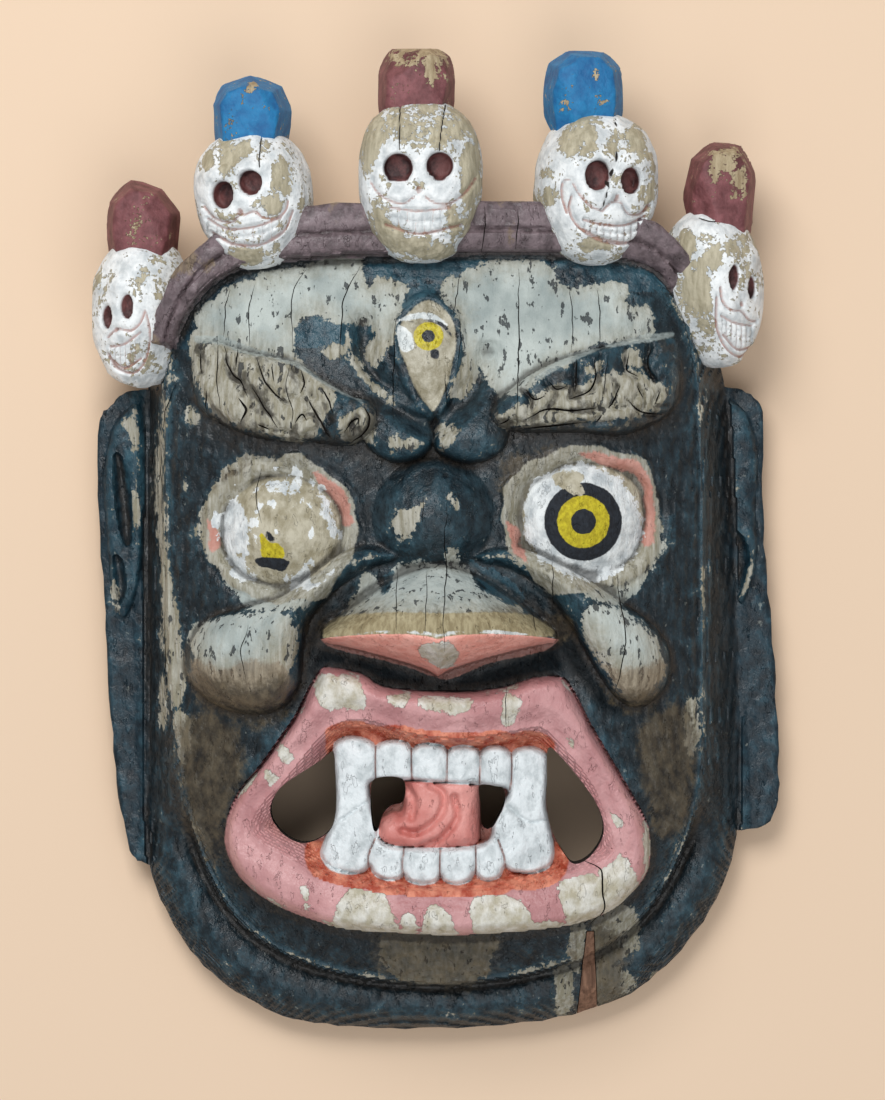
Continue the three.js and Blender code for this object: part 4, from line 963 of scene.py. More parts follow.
def colour(hexCode):
    parts = [int(hexCode[i:i + 2], 16) / 255 for i in (1, 3, 5)]
    return [p / 12.92 if p <= 0.04045 else ((p + 0.055) / 1.055) ** 2.4 for p in parts] + [1.0]


def addNoises(add, sizes):
    # noises by feature size in millimetres, detail and stretch along the grain
    where = add("ShaderNodeTexCoord", output="Object")
    noises = {}
    for name, (size, detail, stretch) in sizes.items():
        seen = add("ShaderNodeMapping", {"Vector": where, "Scale": (1, 1 / stretch, 1)})
        noises[name] = add("ShaderNodeTexNoise", {"Vector": seen, "Scale": 1 / (size * mm), "Detail": detail,
                                                  "Roughness": 0.62})
    return noises


def addRagged(add, noises):
    # a mix of coarse and fine noise round zero, that makes every paint edge ragged
    fine = add("ShaderNodeMath", {0: noises["specks"], 1: 0.7, 2: -0.85}, operation="MULTIPLY_ADD")
    return add("ShaderNodeMath", {0: noises["chips"], 1: 1.0, 2: fine}, operation="MULTIPLY_ADD")


def addShares(add, fields, ragged, masks):
    # from a field to a 0 to 1 share: how ragged its edge is, and between which values it rises
    shares = {}
    for name, (field, unevenness, start, end) in masks.items():
        uneven = add("ShaderNodeMath", {0: ragged, 1: unevenness, 2: fields[field]}, operation="MULTIPLY_ADD")
        shares[name] = add("ShaderNodeMapRange", {"Value": uneven, "From Min": start, "From Max": end})
    return shares


def addTones(add, noises, tones):
    # each paint or wood as two hex colours, mixed by a noise
    mixed = {}
    for name, (first, second, noise, start, end) in tones.items():
        share = add("ShaderNodeMapRange", {"Value": noises[noise], "From Min": start, "From Max": end})
        mixed[name] = add("ShaderNodeMix", {0: share, 6: colour(first), 7: colour(second)}, output=2,
                          data_type="RGBA")
    return mixed


def addCoats(add, base, coats, shares, tones):
    # one coat over the other, each where its share is
    for share, tone, strength in coats:
        cover = add("ShaderNodeMath", {0: shares[share], 1: strength}, operation="MULTIPLY")
        base = add("ShaderNodeMix", {0: cover, 6: base, 7: tones[tone]}, output=2, data_type="RGBA")
    return base


def addRelief(add, sources, film, steps):
    # the thickness of the paint film, raised or lowered by shares and noises
    for name, gain in steps:
        film = add("ShaderNodeMath", {0: sources[name], 1: gain, 2: film}, operation="MULTIPLY_ADD")
    return film


def addSurface(add, base, roughness, ior, height=None, relief=0.4, gloss=0.5):
    inputs = {"Base Color": base, "Roughness": roughness, "IOR": ior, "Specular IOR Level": gloss}
    if height is not None:
        inputs["Normal"] = add("ShaderNodeBump", {"Height": height, "Distance": relief * mm, "Strength": 1.0})
    add("ShaderNodeOutputMaterial", {"Surface": add("ShaderNodeBsdfPrincipled", inputs)})


# The paint of the front
facePaint = {
    "ior": 1.48, "gloss": 0.42, "shadedGloss": -0.8, "paintRoughness": 0.30, "woodRoughness": 0.76,
    "relief": 0.85, "film": 0.6,
    "filmSteps": [  # what raises or lowers the film's surface
        ("bare", -0.6), ("loss", -0.5), ("grain", 0.7), ("pits", -0.6), ("chips", 1.3), ("specks", 0.45),
    ],
    "noises": {  # feature size in mm, detail, stretch up the grain
        "chips": (5.5, 5, 1.35), "specks": (1.7, 4, 1.2), "grain": (2.0, 5, 10), "cloud": (24, 3, 1.4),
        "pits": (3.4, 3, 2.6), "scuffs": (2.6, 4, 1.8),
    },
    "tones": {  # two colours, and the noise that mixes them, from and to
        "skin": ("#0a1820", "#203742", "chips", 0.36, 0.66),
        "blueSkin": ("#1b3541", "#365865", "chips", 0.35, 0.65),
        "flangeSkin": ("#0f171b", "#232f35", "chips", 0.4, 0.66),
        "wood": ("#8c8774", "#b1afa3", "grain", 0.40, 0.62),
        "gesso": ("#939f9e", "#bcc5c1", "cloud", 0.38, 0.6),
        "brownWood": ("#29241d", "#5f533f", "chips", 0.36, 0.64),
        "shade": ("#05080a", "#0f161a", "specks", 0.4, 0.6),
        "pit": ("#1d2226", "#2c3136", "specks", 0.4, 0.6),
        # dirt: dark brown for dirt, and for painted shade where the soot and cuts coats use it
        "dirtAndShade": ("#1c1a18", "#352f29", "specks", 0.4, 0.6),
        "band": ("#55494c", "#7c6d71", "chips", 0.38, 0.62),
        "bandWood": ("#6e5f4e", "#8d7c63", "grain", 0.4, 0.6),
        "lidPink": ("#b9786a", "#c98f82", "chips", 0.4, 0.6),
        "scuff": ("#8f9892", "#b9bdb3", "specks", 0.4, 0.6),
        "eyeCream": ("#968e76", "#bdb7a3", "chips", 0.38, 0.6),
        "eyeWhite": ("#b4bbbe", "#e6eaea", "chips", 0.35, 0.6),
        "black": ("#14181f", "#20262e", "specks", 0.4, 0.6),
        "yellow": ("#a8981b", "#c8ba28", "specks", 0.4, 0.62),
        "tan": ("#8b7e5e", "#aca07e", "grain", 0.4, 0.6),
        "pink": ("#ec9f90", "#f7b5a7", "chips", 0.4, 0.62),
        "lip": ("#b58081", "#ce9c9c", "cloud", 0.40, 0.62),
        "lipGround": ("#b0a993", "#d6d4cb", "chips", 0.38, 0.62),
        "mouth": ("#8a5148", "#b98074", "chips", 0.4, 0.62),
        "gum": ("#a8452f", "#dc8b70", "chips", 0.38, 0.60),
        "tongue": ("#c5746c", "#dc9890", "cloud", 0.4, 0.6),
        "tooth": ("#bcc4c6", "#dfe6e8", "chips", 0.36, 0.56),
        "white": ("#b9c0c0", "#e2e6e4", "chips", 0.4, 0.6),
        "rust": ("#6d3a2c", "#93503c", "specks", 0.4, 0.6),
    },
    "masks": {  # field, unevenness, from, to
        "rubbed": ("rubbed", 9, 0.0, 3.0), "flange": ("flange", 0.1, 0.02, 0.12),
        "bare": ("bare", 9, -0.3, 0.3), "thin": ("bare", 9, -2.6, 0.2), "pale": ("pale", 12, -5, 9),
        "brown": ("brown", 14, -2, 2.5), "pits": ("pits", 0, 0.61, 0.635),
        "scuffs": ("scuffs", 0, 0.675, 0.70), "browDirt": ("browDirt", 4, 0.2, 1.4),
        "browRidge": ("browRidge", 2.2, 0.4, 1.2), "thirdCream": ("thirdCream", 2, 0, 0.7),
        # soot and shade are painted shade, darkening where shade falls under the forms
        "soot": ("soot", 10, -2, 3), "shade": ("shade", 5, -2, 2.5), "podBrown": ("podBrown", 11, -1, 2),
        # ridge: a painted highlight, lighter blue skin on the crests of the carving
        "kept": ("kept", 5, -0.2, 0.3), "ridge": ("proud", 0.3, 0.52, 0.80),
        "joint": ("joint", 0.4, 0.45, 0.8), "band": ("band", 0.8, 0, 0.5),
        "bandBare": ("bandBare", 5, 0, 1), "lid": ("lid", 3, 0, 0.6), "lidPink": ("lidPink", 4, 0, 1),
        "eyeball": ("eyeball", 2.2, 0, 0.6), "eyeWhite": ("eyeWhite", 9, 0, 0.6),
        "iris": ("iris", -1.2, 16.7, 16.3), "irisYellow": ("iris", -1.2, 11.3, 10.9),
        "pupil": ("iris", -1.2, 5.5, 5.2), "bite": ("bite", 5, 0, 0.5),
        "ghostYellow": ("ghostYellow", 2, 0, 0.4), "ghostBlack": ("ghostBlack", 2, 0, 0.4),
        "thirdWhite": ("thirdWhite", 2, 0, 0.5), "thirdBlack": ("thirdBlack", 1, 0, 0.4),
        "thirdYellow": ("thirdIris", -0.8, 6.5, 6.2), "thirdPupil": ("thirdIris", -0.8, 3.0, 2.7),
        "nose": ("noseBand", 2, 0, 0.8), "noseWhite": ("noseWhite", 2, 0, 0.5),
        "pink": ("noseUnder", 1.6, 0, 0.5), "lip": ("lip", 1.4, -0.2, 0.4),
        "mouth": ("mouth", 2.5, 4.5, 11.0), "gum": ("gum", 1.4, 0, 0.8),
        "tongue": ("tongue", 0.8, 0, 0.6), "tooth": ("tooth", 0.6, -0.2, 0.3),
        # cuts darkens the hollows of the carving: dirt there, and painted shade
        "loss": ("loss", 5, -0.2, 0.2), "recessDirtAndShade": ("proud", 0.14, 0.32, 0.06),
        "flame": ("flame", 0.4, 0.25, 0.7),
    },
    "skinCoats": [  # where, what, how strong, from the bottom up
        ("rubbed", "blueSkin", 0.85), ("flange", "flangeSkin", 0.8), ("thin", "blueSkin", 0.45),
        # ridge is a painted highlight on the crests
        ("ridge", "blueSkin", 0.6),
    ],
    "woodCoats": [("pale", "gesso", 0.9), ("pits", "pit", 0.85)],
    "topCoats": [
        # browDirt: dark dirt streaks on the brows, with painted shade along their lower edge
        ("kept", "blueSkin", 0.95), ("scuffs", "scuff", 0.3), ("browDirt", "dirtAndShade", 0.7),
        # soot and shade: painted shade, darkening under the brows, under the nose and in the folds
        ("podBrown", "bandWood", 0.7), ("soot", "dirtAndShade", 0.5), ("shade", "shade", 0.8),
        ("browRidge", "gesso", 0.6), ("brown", "brownWood", 0.78), ("band", "band", 1),
        ("bandBare", "bandWood", 0.8), ("thirdCream", "eyeCream", 0.85), ("lid", "wood", 0.85),
        ("lidPink", "lidPink", 0.85), ("eyeball", "eyeCream", 1), ("eyeWhite", "eyeWhite", 1),
        ("iris", "black", 1), ("irisYellow", "yellow", 1), ("pupil", "black", 1), ("bite", "eyeCream", 1),
        ("ghostYellow", "yellow", 1), ("ghostBlack", "black", 1), ("thirdWhite", "white", 1),
        ("thirdYellow", "yellow", 1), ("thirdPupil", "black", 1), ("thirdBlack", "black", 1),
        ("nose", "tan", 0.9), ("noseWhite", "white", 0.9), ("pink", "pink", 1), ("lip", "lip", 1),
        ("mouth", "mouth", 1), ("gum", "gum", 1), ("tongue", "tongue", 1), ("tooth", "tooth", 1),
        # cuts: dirt and painted shade in the hollows of the carving
        ("joint", "rust", 0.7), ("loss", "lipGround", 1), ("recessDirtAndShade", "dirtAndShade", 0.7), ("flame", "dirtAndShade", 0.75),
    ],
}


def addFields(add, masks, noises):
    # the fields that the masks read from the mesh
    names = sorted({field for field, *_ in masks.values()} - set(noises))
    return {name: add("ShaderNodeAttribute", output="Fac", attribute_name=name) for name in names}


def paintedFace():
    # Worn tempera over pale ground on hand-carved softwood. The eye gets a satin slate skin, chipped
    # with crisp edges to matt grey-cream wood with its grain and dark pits; dirt and painted shade darken the
    # cuts, and a painted highlight lightens the crests.
    material, add = newMaterial("worn tempera on carved softwood")
    p = facePaint
    noises = addNoises(add, p["noises"])
    ragged = addRagged(add, noises)
    fields = addFields(add, p["masks"], noises)
    shares = addShares(add, {**fields, **noises}, ragged, p["masks"])
    tones = addTones(add, noises, p["tones"])
    skin = addCoats(add, tones["skin"], p["skinCoats"], shares, tones)
    wood = addCoats(add, tones["wood"], p["woodCoats"], shares, tones)
    base = addCoats(add, skin, [("bare", "bareWood", 1.0)], shares, {"bareWood": wood})
    base = addCoats(add, base, p["topCoats"], shares, tones)
    roughness = add("ShaderNodeMapRange", {"Value": shares["bare"], "To Min": p["paintRoughness"],
                                           "To Max": p["woodRoughness"]})
    grain = add("ShaderNodeMath", {0: noises["grain"], 1: shares["bare"]}, operation="MULTIPLY")
    height = addRelief(add, {**noises, **shares, "grain": grain}, p["film"], p["filmSteps"])
    gloss = add("ShaderNodeMath", {0: shares["shade"], 1: p["shadedGloss"] * p["gloss"], 2: p["gloss"]},
                operation="MULTIPLY_ADD")
    addSurface(add, base, roughness, p["ior"], height, p["relief"], gloss)
    return material


plainWoods = {
    # name: two colours, grain width in mm, stretch up the grain, roughness, relief in mm
    "adzed raw softwood": ("#5d4a36", "#8f7a5c", 2.2, 9, 0.82, 0.7),
    "split brown softwood": ("#5e4232", "#94705a", 1.8, 9, 0.8, 0.5),
    # near black in the splits, cut strokes and hole walls: their dirt, and painted shade deep in them
    "dark split in softwood": ("#15110e", "#30251c", 1.6, 4, 0.9, 0.3),
}


def plainWood(name):
    # Unpainted wood: matt, streaked up the grain, greyed and darkened by hands and dust; the dark split wood
    # also holds painted shade deep in splits and holes
    material, add = newMaterial(name)
    dark, pale, width, stretch, roughness, relief = plainWoods[name]
    noises = addNoises(add, {"grain": (width, 5, stretch)})
    tones = addTones(add, noises, {"wood": (dark, pale, "grain", 0.36, 0.66)})
    addSurface(add, tones["wood"], roughness, 1.45, noises["grain"], relief)
    return material


skullPaint = {
    "ior": 1.5, "roughness": 0.6, "relief": 0.5, "film": 1.0,
    "filmSteps": [("worn", -1.0), ("chips", 2.2), ("specks", 0.5)],
    "noises": {"chips": (6.0, 5, 1.3), "specks": (1.6, 4, 1), "grain": (2.2, 5, 7)},
    "tones": {
        "paint": ("#c1c7c9", "#eef1f1", "chips", 0.34, 0.56),
        "wood": ("#9c947c", "#bbb39b", "grain", 0.4, 0.62),
        "socket": ("#35191a", "#6b3f3d", "chips", 0.4, 0.6),
        "line": ("#7d4a40", "#b08074", "specks", 0.4, 0.6),
        # crack: near black along the skulls' cracks, for their dirt and painted shade deep in them
        "crack": ("#1b1613", "#2c241e", "specks", 0.4, 0.6),
    },
    "masks": {
        "worn": ("worn", 1.3, 0.50, 0.54), "socket": ("socket", 0.2, 0.25, 0.5),
        "line": ("groove", 0.7, 0.5, 1.0), "crack": ("crack", 0.2, 0.4, 0.6),
    },
    "coats": [("worn", "wood", 1), ("line", "line", 0.8), ("socket", "socket", 1), ("crack", "crack", 1)],
}
knobPaint = {
    "blue": ("#065a90", "#1a7bb0"), "maroon": ("#5d3133", "#875255"), "wood": ("#927f62", "#b3a384"),
    "roughness": 0.62, "masks": {"worn": ("worn", 1.7, 0.55, 0.61)}, "coats": [("worn", "wood", 1)],
}


def flakedPaint(name, paint):
    # Chalky paint on small hewn forms: the eye gets matt solid colour, chipped to tan wood
    material, add = newMaterial(name)
    noises = addNoises(add, paint["noises"])
    shares = addShares(add, addFields(add, paint["masks"], noises), addRagged(add, noises), paint["masks"])
    tones = addTones(add, noises, paint["tones"])
    base = addCoats(add, tones["paint"], paint["coats"], shares, tones)
    height = addRelief(add, {**noises, **shares}, paint["film"], paint["filmSteps"])
    addSurface(add, base, paint["roughness"], paint["ior"], height, paint["relief"])
    return material


def chalkSkull():
    return flakedPaint("chalk white on carved skulls", skullPaint)


def knobColour(name):
    tones = {"paint": (*knobPaint[name], "chips", 0.36, 0.64),
             "wood": (*knobPaint["wood"], "grain", 0.4, 0.6)}
    return flakedPaint(name + " distemper on hewn wood", {**skullPaint, **knobPaint, "tones": tones})


# The hollow behind the face, smoother than the front
hollowSizes = {
    "wall": 13, "step": 2.5, "left": -118, "right": 118.1, "foot": -196, "top": 130.1, "below": -12,
    "eyes": 6, "eyeRadii": (52, 50), "nose": 8, "noseAt": (0, -38), "noseRadii": (60, 45), "sink": 3,
    "mouthReach": 12, "mouthRun": 26, "gouge": 12, "gougeSquash": 0.5, "gougeHeight": 1.6,
}


def hollowTool(material):
    h = hollowSizes
    x, y = np.meshgrid(np.arange(h["left"], h["right"], h["step"]),
                       np.arange(h["foot"], h["top"], h["step"]))
    behindEyes = np.maximum(*[mound(x, y, eye["at"], h["eyeRadii"], 1) for eye in eyes.values()])
    behindNose = mound(x, y, h["noseAt"], h["noseRadii"], 1)
    dome = domeLevel(np.maximum(depthIn(faceEdge, x, y, margin=60), 0), y)
    face = dome - h["eyes"] * behindEyes - h["nose"] * behindNose - h["sink"]
    mouth = ease((depthIn(lipOuter, x, y, margin=20) + h["mouthReach"]) / h["mouthRun"])
    ceiling = mix(face, np.minimum(face, mouthSizes["floor"]), mouth) - h["wall"] / outward
    gouges = planNoise(x, y, h["gouge"], 2, h["gougeSquash"]) - 0.7
    top = rim + outward * ceiling + h["gougeHeight"] * gouges
    hollow = sheetBlock("hollow", x, y, top, h["below"], material)
    return combine(hollow, prism("inset", inset(faceEdge, h["wall"]), -8, 130, material), "INTERSECT")


blockSizes = {
    "foot": -6, "cutTop": 140, "wedgeFoot": -20, "holeFoot": -10, "hewnEdge": 1.1, "triangles": 180000,
    "splintTriangles": 6000,
}


# The split at the chin and the splint let into it, in millimetres
splint = {
    "x": 64.5, "headShift": 0.6, "lean": -3.2, "leanShare": 0.4, "foot": 10.3, "head": 3.6, "length": 44,
    "step": 0.7, "gap": 0.3, "runOut": 12,
}


def splintWedge(name, shrink, material):
    s = splint
    headY = -drawn["height"] / 2 + s["length"]
    footY = headY - s["length"] - s["runOut"]
    headX = s["x"] + s["headShift"]
    footX = headX + s["lean"] * s["leanShare"]
    halfFoot = mix(s["head"], s["foot"], 1 + s["runOut"] / s["length"]) / 2 - shrink
    halfHead = s["head"] / 2 - shrink
    ring = np.array([(headX - halfHead, headY - shrink), (footX - halfFoot, footY),
                     (footX + halfFoot, footY), (headX + halfHead, headY - shrink)])
    return prism(name, ring, blockSizes["wedgeFoot"], blockSizes["cutTop"], material)


def buildMask(material, raw, dark):
    b = blockSizes
    block = sheetBlock("mask", planX, planY, frontZ, b["foot"], material, splitCells=True)
    rng = np.random.default_rng(5)
    edges = [inset(ring, b["hewnEdge"] * rng.random((len(ring), 1)))
             for ring in (footEdge, leftBoard, rightBoard)]
    outlineTool = prism("outline", edges[0], 0, b["cutTop"], raw)
    for name, edge in zip(("leftBoard", "rightBoard"), edges[1:]):
        combine(outlineTool, prism(name, edge, 0, b["cutTop"], raw), "UNION")
    combine(block, outlineTool, "INTERSECT")
    combine(block, hollowTool(raw), "DIFFERENCE")
    for number, ring in enumerate(cornerHoles + tongueHoles):
        combine(block, prism(f"hole{number}", ring, b["holeFoot"], b["cutTop"], dark), "DIFFERENCE")
    print("mask block:", len(block.data.polygons), "faces")
    return block


def paintFront(piece, fields):
    at = vertices(piece) / (across * mm, along * mm, mm)
    for name, values in fields.items():
        carry(piece, name, fromGrid(values, at[:, 0], at[:, 1]))


# Skulls of the crown, each a head on its own axes: x across, y up, z out of its face. Sockets, lines,
# mouths, cracks and bare places are where they show from straight in front.
skulls = [
    {"name": "middleSkull", "at": (-7.5, 152.5, 52), "size": (53, 69, 50), "yaw": 0, "roll": 0,
     "square": 0.74, "sockets": [(-16.7, 157.7, 6.5, 6.5), (0.8, 158.7, 6.0, 6.0)],
     "nose": (-8, 148.5, 2.2, 2.6),
     "lines": [[(-29, 153), (-25, 147), (-19, 143.4), (-14, 142.8), (-10, 145.5)],
               [(-5.5, 145.5), (0, 142.6), (6, 143.2), (12, 148), (16, 154)]],
     "mouth": ([(-20, 141), (-8, 139.5), (5, 141)], [(-22, 134), (-8, 130), (10, 134)], 7),
     "cracks": [[(-15.8, 187), (-16.2, 176), (-16, 165)], [(3.2, 185), (1.6, 175), (0.5, 165)]],
     "bare": [(-8, 175, 24, 10), (14, 158, 4, 18), (-22, 131, 10, 9), (10, 134, 9, 9), (-6, 124, 16, 4),
              (-29, 165, 4, 10), (-7, 151, 3, 3)],
     "knobAt": (-9.2, 196.5, 50), "knob": (33, 29, 30), "paint": "maroon",
     "hewn": [(-25, 184), (-24.6, 199), (-19, 209), (-3, 210), (4.6, 206), (6.8, 196), (5, 184)],
     "knobBare": [(-8, 207, 15, 8), (-4, 198, 3, 5)]},
    {"name": "leftSkull", "at": (-78, 145.5, 50), "size": (49, 60, 46), "yaw": -20, "roll": 9,
     "square": 0.82, "sockets": [(-91.6, 146.7, 4.9, 6.2), (-79.9, 151.8, 5.5, 5.4)],
     "nose": (-84, 139.5, 2.0, 2.0),
     "lines": [[(-99.5, 142), (-95, 137), (-88, 135), (-84.5, 138)],
               [(-82.5, 138), (-78, 139.5), (-75, 137)],
               [(-75, 137), (-69, 136.4), (-65, 140), (-64, 144)],
               [(-62, 140), (-66, 131), (-76, 125.5), (-88, 126)]],
     "mouth": ([(-98, 137), (-90, 132.5), (-78, 133), (-67, 137)],
               [(-96, 131), (-87, 126), (-76, 125.5), (-66, 131)], 8),
     "cracks": [[(-75, 171), (-75.6, 164), (-75, 158)]],
     "bare": [(-88, 162, 4, 7), (-66, 153, 5, 8), (-82, 166, 3, 4), (-70, 143, 5, 4), (-83, 121, 9, 4),
              (-97, 161, 2, 4)],
     "knobAt": (-79.3, 184, 49), "knob": (33, 30, 30), "paint": "blue", "knobBare": [(-78.5, 193, 2, 4)],
     "hewn": [(-94, 170), (-95.4, 186), (-91, 193), (-80, 197.4), (-68, 192.6), (-63.6, 183), (-66, 170)]},
    {"name": "rightSkull", "at": (67, 150, 50), "size": (51, 65, 48), "yaw": 20, "roll": -6,
     "square": 0.8, "sockets": [(68.2, 154.7, 5.8, 6.8), (82.2, 152.6, 4.4, 6.0)],
     "nose": (76, 145.5, 1.8, 2.4),
     "lines": [[(55, 139), (53, 146), (53.5, 152), (57, 152), (60, 147), (65, 141.6), (70, 139.6)],
               [(78, 143.4), (81, 138.6), (86, 138.8), (90, 143)],
               [(70, 139.6), (74, 143.5), (78, 143.4)],
               [(57, 146), (56, 140), (60, 133), (70, 127), (82, 127), (90, 134)]],
     "mouth": ([(62, 136), (70, 134), (80, 134), (88, 138)], [(62, 132), (70, 128), (82, 127), (89, 133)],
               9),
     "cracks": [[(75.6, 179), (75.8, 165), (72.5, 150), (69.5, 140)]],
     "bare": [(62, 170, 8, 9), (74, 168, 4, 6), (83, 172, 5, 7), (47, 146, 5, 5), (46, 156, 3, 3),
              (68, 126, 6, 3)],
     "knobAt": (62.3, 192.6, 49), "knob": (34, 33, 30), "paint": "blue", "knobBare": [(67, 197, 2, 3.5)],
     "hewn": [(48, 176), (45.8, 190), (48.6, 203), (56, 208.6), (70, 208), (77, 201), (78.6, 188),
              (76, 176)]},
    {"name": "farLeftSkull", "at": (-126.5, 98, 37), "size": (41, 64, 42), "yaw": -48, "roll": -4,
     "square": 0.84, "jaw": 0.3, "sockets": [(-141.4, 95.5, 2.7, 5.2), (-132.8, 99.8, 3.3, 5.5)],
     "nose": (-137.5, 90, 1.2, 1.6),
     "lines": [[(-141, 87), (-137, 90.4), (-131, 89.6), (-127, 93), (-125, 98)],
               [(-124.5, 97), (-123, 88), (-125, 78), (-130, 72), (-137, 74), (-141, 80)]],
     "mouth": ([(-140, 83), (-134, 84), (-127, 89)], [(-140, 78), (-134, 74), (-127, 78)], 6),
     "cracks": [], "bare": [(-126, 113, 3, 4), (-112, 108, 2, 5)], "knobAt": (-126.3, 138, 37),
     "knob": (31, 34, 28), "paint": "maroon", "knobBare": [(-131, 132, 2, 2)],
     "hewn": [(-139, 120), (-141.4, 134), (-139.6, 145), (-131, 153.4), (-119, 150), (-111, 140),
              (-113, 120)]},
    {"name": "farRightSkull", "at": (117.4, 108, 37), "size": (40, 68, 42), "yaw": 46, "roll": 9,
     "square": 0.84, "jaw": 0.3, "sockets": [(126.3, 112.4, 2.7, 5.6), (134.2, 108.2, 2.1, 5.2)],
     "nose": (129.5, 101, 1.2, 1.8),
     "lines": [[(120.5, 108), (121.5, 102), (125, 98.5), (129.5, 98), (133, 94.5), (136, 94)],
               [(119, 104), (119, 92), (123, 83), (129, 79), (134, 82)]],
     "mouth": ([(121, 96), (127, 93), (134, 92)], [(122, 88), (128, 82), (134, 83)], 6),
     "cracks": [[(105, 138), (102, 126), (101, 112)], [(108, 139), (118, 136), (128, 140), (134, 132)]],
     "bare": [(110, 106, 6, 13), (106, 126, 4, 7), (127, 127, 5, 6), (117, 118, 3, 5)],
     "knobAt": (120.7, 152.5, 38), "knob": (31, 37, 28), "paint": "maroon",
     "knobBare": [(123, 163, 8, 6), (129, 154, 3, 8), (117, 158, 3, 5)],
     "hewn": [(108, 134), (105.8, 148), (109.6, 163), (118, 170), (129, 168.4), (135.4, 157), (133, 134)]},
]
skullForm = {
    "cells": 168, "wrap": 118, "jawTaper": 0.15, "lumps": 0.06, "socketDepth": 7.5, "noseDepth": 1.6,
    "lineDepth": 2.4, "lineWidth": 1.5, "toothWidth": 0.7, "crackDepth": 1.8, "crackWidth": 0.6,
    "browRise": 1.8, "browAt": (0.34, 0.38), "browSize": (0.4, 0.16), "turnedCut": 0.6,
}


def wrappedBall(count):
    # points of a ball unrolled from the middle of its face, as a square grid
    u, v = np.meshgrid(np.linspace(-1, 1, count), np.linspace(-1, 1, count))
    x = u * np.sqrt(1 - v * v / 2)
    y = v * np.sqrt(1 - u * u / 2)
    radius = np.hypot(x, y)
    lean = radius * math.radians(skullForm["wrap"])
    share = np.where(radius > 1e-9, np.sin(lean) / np.maximum(radius, 1e-9), 1)
    return np.stack([x * share, y * share, np.cos(lean)], axis=-1).reshape(-1, 3)


def squared(p, power):
    return np.sign(p) * np.abs(p) ** power


def turnOf(yaw, roll):
    y, r = math.radians(yaw), math.radians(roll)
    turnZ = np.array([[math.cos(r), -math.sin(r), 0], [math.sin(r), math.cos(r), 0], [0, 0, 1]])
    turnY = np.array([[math.cos(y), 0, math.sin(y)], [0, 1, 0], [-math.sin(y), 0, math.cos(y)]])
    return turnY @ turnZ


def placeHead(p, size, at, yaw, roll):
    spot = np.array([at[0], at[1], rim + outward * (at[2] - rim)])
    return (p * np.array(size) / 2 * (1, 1, outward)) @ turnOf(yaw, roll).T + spot


def closedHead(name, count, p, place, material):
    # the wrapped grid closed by one point at the middle of the back
    rear = placeHead(np.array([[0, 0, math.cos(math.radians(skullForm["wrap"]))]]), *place)
    border = gridBorder(count, count)
    faces = gridFaces(count, count)
    faces += [[border[(k + 1) % len(border)], border[k], len(p)] for k in range(len(border))]
    return meshObject(name, np.vstack([p, rear]), faces, material)


def ellipseDepths(spots, x, y):
    # the nearest spot's share: 1 at its middle, 0 at its edge, negative outside
    return np.maximum.reduce([1 - np.sqrt(ellipseShare(x, y, spot[:2], spot[2:])) for spot in spots])


def skullCuts(skull, x, y):
    f = skullForm
    pit = ease((ellipseDepths(skull["sockets"], x, y) + 0.06) / 0.3)
    nose = ease((ellipseDepths([skull["nose"]], x, y) + 0.1) / 0.6)
    upper, lower, count = skull["mouth"]
    upper, lower = curves(upper, lower, steps=4)
    paths = curves(*skull["lines"], steps=4) + [upper, lower]
    lines = np.maximum.reduce([onLine(path, x, y, f["lineWidth"]) for path in paths])
    high, low = [np.interp(x, edge[:, 0], edge[:, 1]) for edge in (upper, lower)]
    inRow = (x > upper[0, 0]) & (x < upper[-1, 0]) & (y < high) & (y > low)
    middle = np.maximum(0, 1 - np.abs(y - (high + low) / 2) / f["toothWidth"])
    step = (upper[-1, 0] - upper[0, 0]) / count
    along = (x - upper[0, 0]) / step
    away = np.abs(along - np.round(along)) * step
    teeth = np.where(inRow, np.maximum(ease(1 - away / f["toothWidth"]), 0.8 * middle), 0)
    cracks = np.zeros(x.shape)
    for crack in curves(*skull["cracks"], steps=4):
        cracks = np.maximum(cracks, onLine(crack, x, y, f["crackWidth"]))
    return pit, nose, np.maximum(lines, 0.8 * teeth), cracks


